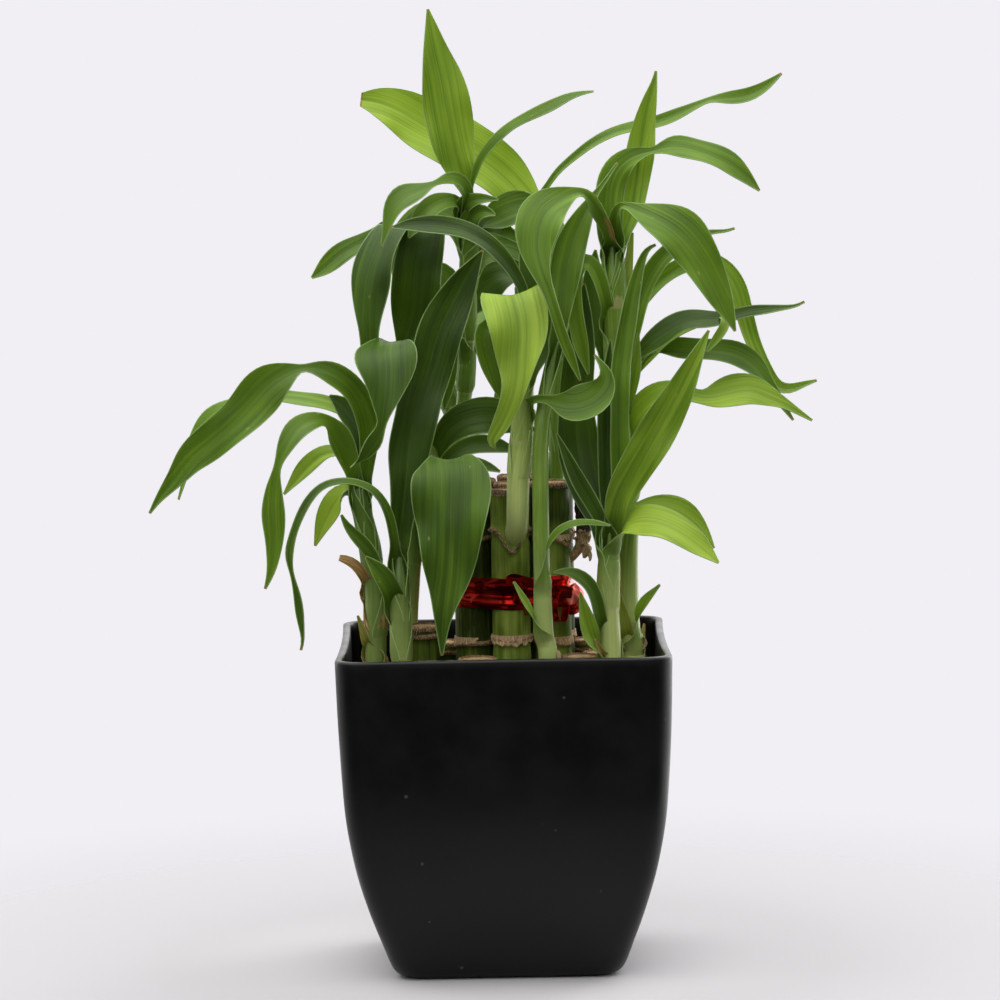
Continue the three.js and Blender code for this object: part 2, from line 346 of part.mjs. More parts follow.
        "face": [[-0.5, -1, -0.3], [0, -1, 0.7], [0, -1, 0.3], [0, -1, 0.1]]},
      {"name": "AV", "path": [[38, 210, -10, 3], [36.3, 219, -13, 4], [34.5, 227, -15, 5],
        [31.5, 233.5, -16, 5.5], [28, 234, -16, 6], [25.7, 229.5, -16, 6], [26, 222, -16, 5],
        [26.5, 214, -17, 5.5], [27.8, 206, -17, 5], [30, 196.5, -17, 0.8]],
        "face": [[0.3, -1, 0.2], [0, -1, 0.5], [-0.3, -1, 0.2], [0, -1, 0]]},
      {"name": "AS", "path": [[40, 176, -10, 3], [43, 187, -14, 3.5], [45.5, 198, -16, 4],
        [46.7, 210, -16, 0.8]],
        "face": [[0.1, -1, 0], [0.1, -1, 0]]},
      {"name": "SB", "path": [[39.5, 194, -6, 4], [36, 206, -3, 8], [33, 216, 0, 10], [32, 227, 2, 8],
        [33, 238, 3, 0.8]],
        "face": [[0.2, -1, 0.1], [0, -1, 0.1]]},
      {"name": "bract_high", "path": [[40.5, 212, -8, 4], [43, 228, -6, 4], [45, 243.5, -5, 1.5]],
        "face": [[0.7, -1, 0], [0.5, -1, 0]]},
      {"name": "bract_low", "path": [[43, 100, -10, 5], [41.5, 112, -12.5, 4], [39.5, 122.5, -13, 0.8]],
        "face": [[-0.3, -1, 0], [-0.3, -1, 0]]},
      {"name": "bract_spike", "path": [[44, 99, -9, 5], [46, 106, -9, 3], [47.3, 112.5, -9, 0.8]],
        "face": [[0.5, -1, 0], [0.5, -1, 0]]},
    ],
  },
  {
    "name": "shoot_back_left",
    "stem": [[-3, 99, 33, 2.9], [-6.5, 104, 38.5, 3], [-10, 114, 41, 3], [-11, 135, 42, 2.9],
      [-12, 165, 41, 2.7], [-16, 192, 39, 2.5], [-20, 211, 37, 2.1]],
    "leaves": [
      {"name": "b1", "path": [[-18, 202, 38, 3], [-24, 216, 38, 9], [-30, 228, 40, 13],
        [-34, 237, 42, 8], [-36, 243, 43, 0.8]],
        "face": [[0.4, 0.3, 0.6], [0.2, -0.6, 0.6]]},
      {"name": "b2", "path": [[-15, 186, 39, 3], [-17, 200, 46, 8], [-18, 210, 54, 12],
        [-18, 211, 62, 12], [-18, 203, 68, 8], [-18, 192, 71, 0.8]],
        "across": [[1, 0, 0], [1, 0, 0]]},
      {"name": "b3", "path": [[-12.3, 168, 40, 3], [-18, 184, 41, 8], [-24, 194, 44, 11],
        [-30, 199, 48, 9], [-35, 197, 52, 4], [-38, 191, 55, 0.8]],
        "face": [[1, 0.3, 0.3], [0, 0.5, 1], [-0.3, 0.6, 0.6]]},
      {"name": "b4", "path": [[-10.6, 122, 42, 3], [-7, 136, 48, 8], [-4, 145, 56, 11],
        [-3, 145, 64, 11], [-3, 136, 70, 8], [-4, 124, 73, 0.8]],
        "across": [[1, 0, 0], [1, 0, 0]]},
      {"name": "b5", "path": [[-13.7, 178, 41, 3], [-13, 194, 46, 6], [-11, 207, 50, 9],
        [-8.5, 214, 56, 11], [-8, 218, 63, 8], [-9, 220, 69, 0.8]],
        "across": [[1, 0, 0], [1, 0, 0]]},
    ],
  },
  {
    "name": "shoot_back_right",
    "stem": [[15.8, 99, 30, 2.9], [16.5, 104, 36, 3], [17, 114, 39, 3], [18, 135, 40, 2.9],
      [19, 165, 40, 2.7], [20, 200, 39, 2.5], [21, 233, 38, 2.1]],
    "leaves": [
      {"name": "c1", "path": [[20.7, 224, 38, 3], [19, 236, 39, 9], [17, 246, 42, 11], [16, 254, 45, 6],
        [16, 259, 47, 0.8]],
        "face": [[0.2, 1, 0.2], [0.2, 1, 0.2]]},
      {"name": "c2", "path": [[20, 200, 39, 3], [26, 210, 40, 8], [33, 217, 43, 10], [39, 218, 47, 7],
        [43, 213, 51, 0.8]],
        "face": [[-0.8, 0.3, 0.3], [0, 0.5, 1], [0.3, 0.6, 0.6]]},
      {"name": "c3", "path": [[19.5, 184, 39, 3], [20, 202, 46, 9], [21, 212, 54, 13],
        [21, 213, 62, 13], [21, 204, 69, 9], [21, 190, 73, 0.8]],
        "across": [[1, 0, 0], [1, 0, 0]]},
      {"name": "c4", "path": [[19, 158, 40, 3], [14, 174, 45, 8], [9, 186, 52, 12], [5, 191, 60, 12],
        [2, 187, 67, 8], [0, 178, 71, 0.8]],
        "face": [[1, 0.3, 0.3], [0.3, 0.5, 1], [-0.2, 1, 0.4]]},
      {"name": "c5", "path": [[18, 124, 40, 3], [16, 140, 47, 8], [14, 151, 55, 11], [13, 152, 64, 11],
        [13, 143, 71, 8], [13, 130, 75, 0.8]],
        "across": [[1, 0, 0], [1, 0, 0]]},
    ],
  },
];

// Moves a point of the front elevation along its line of sight to the depth y.
function placed(x, z, y) {
  const reach = (y - EYE[1]) / -EYE[1];
  return new THREE.Vector3(EYE[0] + (x - EYE[0]) * reach, y, EYE[2] + (z - EYE[2]) * reach);
}

// A Catmull-Rom curve through rows of numbers, at t from 0 to 1.
function along(rows, t) {
  const last = rows.length - 1;
  const at = Math.min(Math.max(t, 0), 1) * last;
  const i = Math.min(Math.floor(at), last - 1);
  const u = at - i;
  return rows[i].map((start, k) => {
    const end = rows[i + 1][k];
    const before = i > 0 ? rows[i - 1][k] : 2 * start - end;
    const after = i + 2 <= last ? rows[i + 2][k] : 2 * end - start;
    const slope0 = (end - before) / 2;
    const slope1 = (after - start) / 2;
    const cubic = 2 * start - 2 * end + slope0 + slope1;
    const square = 3 * end - 3 * start - 2 * slope0 - slope1;
    return start + u * (slope0 + u * (square + u * cubic));
  });
}

// Closes a row of rings of equal size into one solid, with a flat fan over each end.
function skin(rings, turnedColumns = []) {
  const size = rings[0].length;
  const vertices = rings.flat().flatMap((p) => [p.x, p.y, p.z]);
  const triangles = [];
  for (let i = 0; i + 1 < rings.length; i += 1) {
    for (let j = 0; j < size; j += 1) {
      const a = i * size + j;
      const b = i * size + ((j + 1) % size);
      const c = b + size;
      const d = a + size;
      if (turnedColumns.includes(j)) triangles.push(a, b, c, a, c, d);
      else triangles.push(a, b, d, b, c, d);
    }
  }
  const top = (rings.length - 1) * size;
  for (let j = 1; j + 1 < size; j += 1) {
    triangles.push(0, j + 1, j);
    triangles.push(top, top + j, top + j + 1);
  }
  const made = (order) =>
    new wasm.Manifold(
      new wasm.Mesh({
        numProp: 3,
        vertProperties: new Float32Array(vertices),
        triVerts: new Uint32Array(order),
      }),
    );
  const solid = made(triangles);
  if (solid.volume() > 0) return solid;
  return made(triangles.reverse());
}

// A leaf blade: a shallow channel in cross-section, swept along its path.
function blade(leaf) {
  const rows = leaf.path;
  const spine = (t) => {
    const [x, z, y] = along(rows, t);
    return placed(x, z, y);
  };
  let length = 0;
  for (let i = 0; i + 1 < rows.length; i += 1) {
    length += spine(i / (rows.length - 1)).distanceTo(spine((i + 1) / (rows.length - 1)));
  }
  const fitted = Math.min(Math.max(Math.round(length / BLADE_STEP), 4), 12);
  const steps = Math.max(fitted, rows.length > 10 ? rows.length - 1 : 0);
  const rings = [];
  for (let i = 0; i <= steps; i += 1) {
    const t = i / steps;
    const middle = spine(t);
    const width = Math.max(along(rows, t)[3], 0.8);
    const forward = spine(Math.min(t + 0.01, 1)).sub(spine(Math.max(t - 0.01, 0))).normalize();
    const across = new THREE.Vector3();
    if (leaf.across) across.fromArray(along(leaf.across, t));
    else across.crossVectors(forward, new THREE.Vector3().fromArray(along(leaf.face, t)));
    across.addScaledVector(forward, -across.dot(forward)).normalize();
    const up = new THREE.Vector3().crossVectors(across, forward);
    const at = (side, rise) =>
      middle.clone().addScaledVector(across, (side * width) / 2).addScaledVector(up, rise);
    const lift = BLADE_CHANNEL * width;
    rings.push([
      at(-1, lift), at(0, 0), at(1, lift),
      at(1, lift - BLADE_THICK), at(0, -BLADE_THICK), at(-1, lift - BLADE_THICK),
    ]);
  }
  return skin(rings, [3, 4]);
}

// A round stem swept along its path.
function stalk(rows, sides) {
  const rings = [];
  const steps = rows.length - 1;
  for (let i = 0; i <= steps; i += 1) {
    const t = i / steps;
    const [x, z, y, radius] = along(rows, t);
    const next = along(rows, Math.min(t + 0.01, 1));
    const back = along(rows, Math.max(t - 0.01, 0));
    const forward = placed(next[0], next[1], next[2]).sub(placed(back[0], back[1], back[2])).normalize();
    const first = new THREE.Vector3(1, 0, 0);
    first.addScaledVector(forward, -first.dot(forward)).normalize();
    const second = new THREE.Vector3().crossVectors(forward, first);
    const ring = [];
    for (let k = 0; k < sides; k += 1) {
      const turn = (2 * Math.PI * k) / sides;
      ring.push(
        placed(x, z, y)
          .addScaledVector(first, radius * Math.cos(turn))
          .addScaledVector(second, radius * Math.sin(turn)),
      );
    }
    rings.push(ring);
  }
  return skin(rings);
}

// An upright cane, given its radius at each height.
function cane(x, y, profile, extra, sides = CANE_SIDES) {
  return skin(
    profile.map(([z, radius]) => {
      const ring = [];
      for (let k = 0; k < sides; k += 1) {
        const turn = (2 * Math.PI * (k + 0.5)) / sides;
        ring.push(
          new THREE.Vector3(x + (radius + extra) * Math.cos(turn), y + (radius + extra) * Math.sin(turn), z),
        );
      }
      return ring;
    }),
  );
}

// A level rounded square, with its sides drawn in by "pinch" at their middles.
function roundedSquare(half, corner, z, pinch = 0) {
  const ring = [];
  const cornerSteps = 4;
  const sideSteps = 4;
  for (let k = 0; k < 4; k += 1) {
    const quarter = (k * Math.PI) / 2;
    const put = (x, y) =>
      ring.push(
        new THREE.Vector3(
          x * Math.cos(quarter) - y * Math.sin(quarter),
          x * Math.sin(quarter) + y * Math.cos(quarter),
          z,
        ),
      );
    const inner = half - corner;
    for (let i = 0; i <= cornerSteps; i += 1) {
      const turn = ((i / cornerSteps) * Math.PI) / 2;
      put(inner + corner * Math.cos(turn), inner + corner * Math.sin(turn));
    }
    for (let i = 1; i < sideSteps; i += 1) {
      const u = 1 - (2 * i) / sideSteps;
      put(u * inner, half - pinch * (1 - u * u));
    }
  }
  return ring;
}

// The pot's outer half width at each height, from the foot to the rim.
const POT_PROFILE = [
  [0, 33], [0.9, 36.2], [3.75, 38.6], [11.6, 41.5], [23, 45.4], [37, 49.3], [53, 52.2], [68, 53.5],
  [88, 54.5], [107.6, POT_TOP_HALF],
];

function potHalf(z) {
  for (let i = 1; i < POT_PROFILE.length; i += 1) {
    const [z0, half0] = POT_PROFILE[i - 1];
    const [z1, half1] = POT_PROFILE[i];
    if (z <= z1) return half0 + ((half1 - half0) * (z - z0)) / (z1 - z0);
  }
  return POT_TOP_HALF;
}

function pinchAt(z) {
  return SIDE_PINCH * Math.min(Math.max((z - 70) / 38, 0), 1);
}

function pot() {
  const rings = POT_PROFILE.map(([z, half]) => roundedSquare(half, POT_CORNER, z, pinchAt(z)));
  const lip = POT_TOP_HALF - POT_WALL / 2;
  rings.push(roundedSquare(lip + 0.6, POT_CORNER - 0.6, POT_HEIGHT, SIDE_PINCH));
  rings.push(roundedSquare(lip - 0.6, POT_CORNER - 1.8, POT_HEIGHT, SIDE_PINCH));
  for (const z of [107.6, 88, 68, 53, 37, 23, 11.6, 6, POT_FLOOR]) {
    const rounding = z === POT_FLOOR ? 2 : 0;
    const half = potHalf(z) - POT_WALL - rounding;
    rings.push(roundedSquare(half, POT_CORNER - POT_WALL, z, pinchAt(z)));
  }
  return skin(rings);
}

// The soil fills the pot up to a finger's width below the rim, a small gap clear of its wall and floor.
function soil() {
  const rings = [POT_FLOOR + GAP, 6, 11.6, 23, 37, 53, 68, SOIL_TOP].map((z, i) => {
    const rounding = i === 0 ? 2 : 0;
    const half = potHalf(z) - POT_WALL - GAP - rounding;
    return roundedSquare(half, POT_CORNER - POT_WALL - GAP, z, pinchAt(z));
  });
  return skin(rings);
}

// Heights of the tall canes (the middle one first), and [degrees from the front, height] of the short ones.
const TALL_TOPS = [161, 160, 162, 160.5, 162, 161.5, 160.5];
const SHORT_CANES = [
  [-20, 106], [50, 105], [84, 104], [118, 106], [152, 104], [188, 107], [224, 105], [258, 108], [292, 115],
];

function tallProfile(top) {
  const profile = [[CANE_FOOT, CANE_RADIUS]];
  for (const z of [107.5, 143]) {
    profile.push([z - 1.5, CANE_RADIUS], [z, CANE_RADIUS + NODE_RIDGE], [z + 1.5, CANE_RADIUS]);
  }
  profile.push([top - 1.5, CANE_RADIUS], [top - 0.5, CANE_RADIUS + NODE_RIDGE / 2], [top, CANE_RADIUS - 0.3]);
  return profile;
}

function shortProfile(top) {
  const body = CANE_RADIUS - 0.2;
  return [[CANE_FOOT, body], [top - 3, body], [top - 1.5, body + NODE_RIDGE], [top, body - 0.4]];
}

const canes = [];
TALL_TOPS.forEach((top, i) => {
  const turn = ((i - 1) * 60 - 5) * (Math.PI / 180);
  const reach = i === 0 ? 0 : TALL_RING;
  canes.push({
    name: "cane_tall_" + (i + 1),
    x: BUNDLE_X + reach * Math.sin(turn),
    y: -reach * Math.cos(turn),
    profile: tallProfile(top),
  });
});
SHORT_CANES.forEach(([degrees, top], i) => {
  const turn = degrees * (Math.PI / 180);
  canes.push({
    name: "cane_short_" + (i + 1),
    x: SHORT_RING_X + SHORT_RING * Math.sin(turn),
    y: -SHORT_RING * Math.cos(turn),
    profile: shortProfile(top),
  });
});

// The foil ribbon: one band round the seven tall canes, with a hanging loop and a crumpled knot.
function bandOutline(offset) {
  const ring = [];
  const arcSteps = 4;
  for (let k = 0; k < 6; k += 1) {
    const middle = k * 60 - 5;
    const turn = (middle * Math.PI) / 180;
    const x = BUNDLE_X + TALL_RING * Math.sin(turn);
    const y = -TALL_RING * Math.cos(turn);
    for (let i = 0; i < arcSteps; i += 1) {
      const bend = ((middle - 24 + (48 * i) / (arcSteps - 1)) * Math.PI) / 180;
      ring.push([x + offset * Math.sin(bend), y - offset * Math.cos(bend)]);
    }
  }
  return ring;
}

function ribbon() {
  const inside = CANE_RADIUS + GAP;
  const prism = (offset, bottom, top) =>
    skin([bottom, top].map((z) => bandOutline(offset).map(([x, y]) => new THREE.Vector3(x, y, z))));
  const band = prism(inside + RIBBON_THICK, RIBBON_BOTTOM, RIBBON_TOP).subtract(
    prism(inside, RIBBON_BOTTOM - 1, RIBBON_TOP + 1),
  );
  const knot = stalk([[19.5, 120, -17.6, 1.6], [21.8, 124, -16.4, 2.3], [24.2, 121.5, -14, 2.3],
    [26.3, 126, -11.5, 1.4]], 6);
  const loop = stalk([[20, 124.5, -16.8, 0.9], [17.2, 121, -18.5, 0.9], [18.3, 115.8, -19, 0.9],
    [21.3, 118.5, -18.3, 0.9], [21.5, 123, -16.3, 0.9]], 6);
  return band.add(knot).add(loop).subtract(allClear);
}

// The withered stub of a side shoot on the right-hand tall cane.
const STUB = [
  [22, 134, -5, 2.6], [27, 139, -7, 3], [27.7, 146, -7, 3.4], [26.5, 152, -7, 2.2], [26, 158, -7, 1.4],
];

const root = new THREE.Group();

function addMesh(name, solid, color, roughness, metalness = 0) {
  const mesh = solid.getMesh();
  const positions = new Float32Array(mesh.numVert * 3);
  for (let i = 0; i < mesh.numVert; i += 1) {
    positions.set(mesh.vertProperties.subarray(i * mesh.numProp, i * mesh.numProp + 3), i * 3);
  }
  const geometry = new THREE.BufferGeometry();
  geometry.setAttribute("position", new THREE.BufferAttribute(positions, 3));
  geometry.setIndex(new THREE.BufferAttribute(mesh.triVerts, 1));
  const made = new THREE.Mesh(geometry, new THREE.MeshStandardMaterial({ color, roughness, metalness }));
  made.name = name;
  root.add(made);
}

// The canes, and what the shoots, the stub and the ribbon stay clear of: the canes grown by the gap.
const caneBodies = canes.map((c) => cane(c.x, c.y, c.profile, 0));
const caneClearances = canes.map((c) => cane(c.x, c.y, c.profile, GAP));
const allClear = wasm.Manifold.union(caneClearances);

const stems = SHOOTS.map((shoot) => stalk(shoot.stem, STEM_SIDES));
const holes = SHOOTS.filter((shoot) => shoot.stem[0][1] < SOIL_TOP).map((shoot) =>
  stalk(shoot.stem.map(([x, z, y, radius], i) => [x, i === 0 ? z - GAP : z, y, radius + GAP]), STEM_SIDES),
);
const caneHoles = canes.map((c) =>
  cane(c.x, c.y, c.profile.map(([z, radius]) => [z === CANE_FOOT ? z - GAP : z, radius]), GAP),
);

addMesh("pot", pot(), 0x1a1a1b, 0.35);
addMesh("soil", soil().subtract(wasm.Manifold.union([...holes, ...caneHoles])), 0x2b2019, 0.95);
canes.forEach((c, i) => addMesh(c.name, caneBodies[i], 0x3f5f2a, 0.5));
addMesh("ribbon", ribbon(), 0xb01810, 0.25, 0.8);
addMesh("dead_stub", stalk(STUB, 7).subtract(allClear), 0x4a3624, 0.9);
SHOOTS.forEach((shoot, i) => {
  const whole = wasm.Manifold.union([stems[i], ...shoot.leaves.map(blade)]);
  addMesh(shoot.name, whole.subtract(allClear), 0x4f7f2c, 0.5);
});

export default root;
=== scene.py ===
"""A bundle of lucky bamboo canes with leafy shoots in a square black plastic pot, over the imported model.

Shapes are worked out in millimetres, with +Z up and the origin under the middle of the pot, and are then
made in metres.
"""

import math
import random

import bpy
from mathutils import Matrix, Quaternion, Vector, noise


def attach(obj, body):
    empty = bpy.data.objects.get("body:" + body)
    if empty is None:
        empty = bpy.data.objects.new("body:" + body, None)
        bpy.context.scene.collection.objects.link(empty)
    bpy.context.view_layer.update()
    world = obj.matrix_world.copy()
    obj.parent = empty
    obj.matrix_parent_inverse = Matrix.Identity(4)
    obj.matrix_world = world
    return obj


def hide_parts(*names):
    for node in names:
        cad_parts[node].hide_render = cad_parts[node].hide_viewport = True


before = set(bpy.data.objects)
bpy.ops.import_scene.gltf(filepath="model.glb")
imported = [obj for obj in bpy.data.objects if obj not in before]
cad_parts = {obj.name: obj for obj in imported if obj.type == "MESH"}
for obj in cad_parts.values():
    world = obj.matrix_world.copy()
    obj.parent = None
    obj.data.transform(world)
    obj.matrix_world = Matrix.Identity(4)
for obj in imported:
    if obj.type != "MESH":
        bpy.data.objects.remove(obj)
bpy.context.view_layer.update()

# Main sizes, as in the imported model
POT_HEIGHT = 108.5
POT_TOP_HALF = 55
POT_WALL = 2.6
POT_FLOOR = 3.5
POT_CORNER = 8
SIDE_PINCH = 0.8
SOIL_TOP = 90
STEM_BURIED = 40
SHEATH_LENGTHS = (11, 19)
CANE_FOOT = 52
CANE_RADIUS = 6.4
TALL_RING = 15
SHORT_RING = 31
SHORT_RING_X = 2
BUNDLE_X = 4.2
BUNDLE_DEGREES = -5
TALL_TOPS = [161, 160, 162, 160.5, 162, 161.5, 160.5]
# The directions of the short canes in degrees from the front, and their tops
SHORT_CANES = [
    [-20, 106], [50, 105], [84, 104], [118, 106], [152, 104], [188, 107], [224, 105], [258, 108], [292, 115],
]
# The pot's outer [height, half width] from the foot to the rim, then the rounded lip
POT_PROFILE = [
    [0, 33], [0.9, 36.2], [3.75, 38.6], [11.6, 41.5], [23, 45.4], [37, 49.3], [53, 52.2], [68, 53.5],
    [88, 54.5], [107.6, POT_TOP_HALF],
]
LIP = [[108.05, 54.88], [108.35, 54.5], [108.5, 53.9], [108.45, 53.3], [108.2, 52.75], [107.7, 52.45]]

# How finely the shapes are made
MILLIMETRES = 1000
RING_STEP = 1.9
BLADE_COLUMNS = (-1, -0.95, -0.78, -0.52, -0.28, -0.1, 0, 0.1, 0.28, 0.52, 0.78, 0.95, 1)
BLADE_THICK = 0.4
STEM_SIDES = 20
CANE_SIDES = 44
SCAR_STEPS = 48
SHRED_STEPS = 8
STUB_STEPS = 44
STUB_SIDES = 20
RIBBON_STEPS = 300
POT_STEPS = 72
SOIL_RINGS = 40
SOIL_CHIPS = 420
# The surface data keeps its seeds under this number.
SEEDS = 97

# Leaves and stems are laid out on a front elevation in the plane y = 0, drawn as seen from this eye.
EYE = [0, -1650, 325.5]

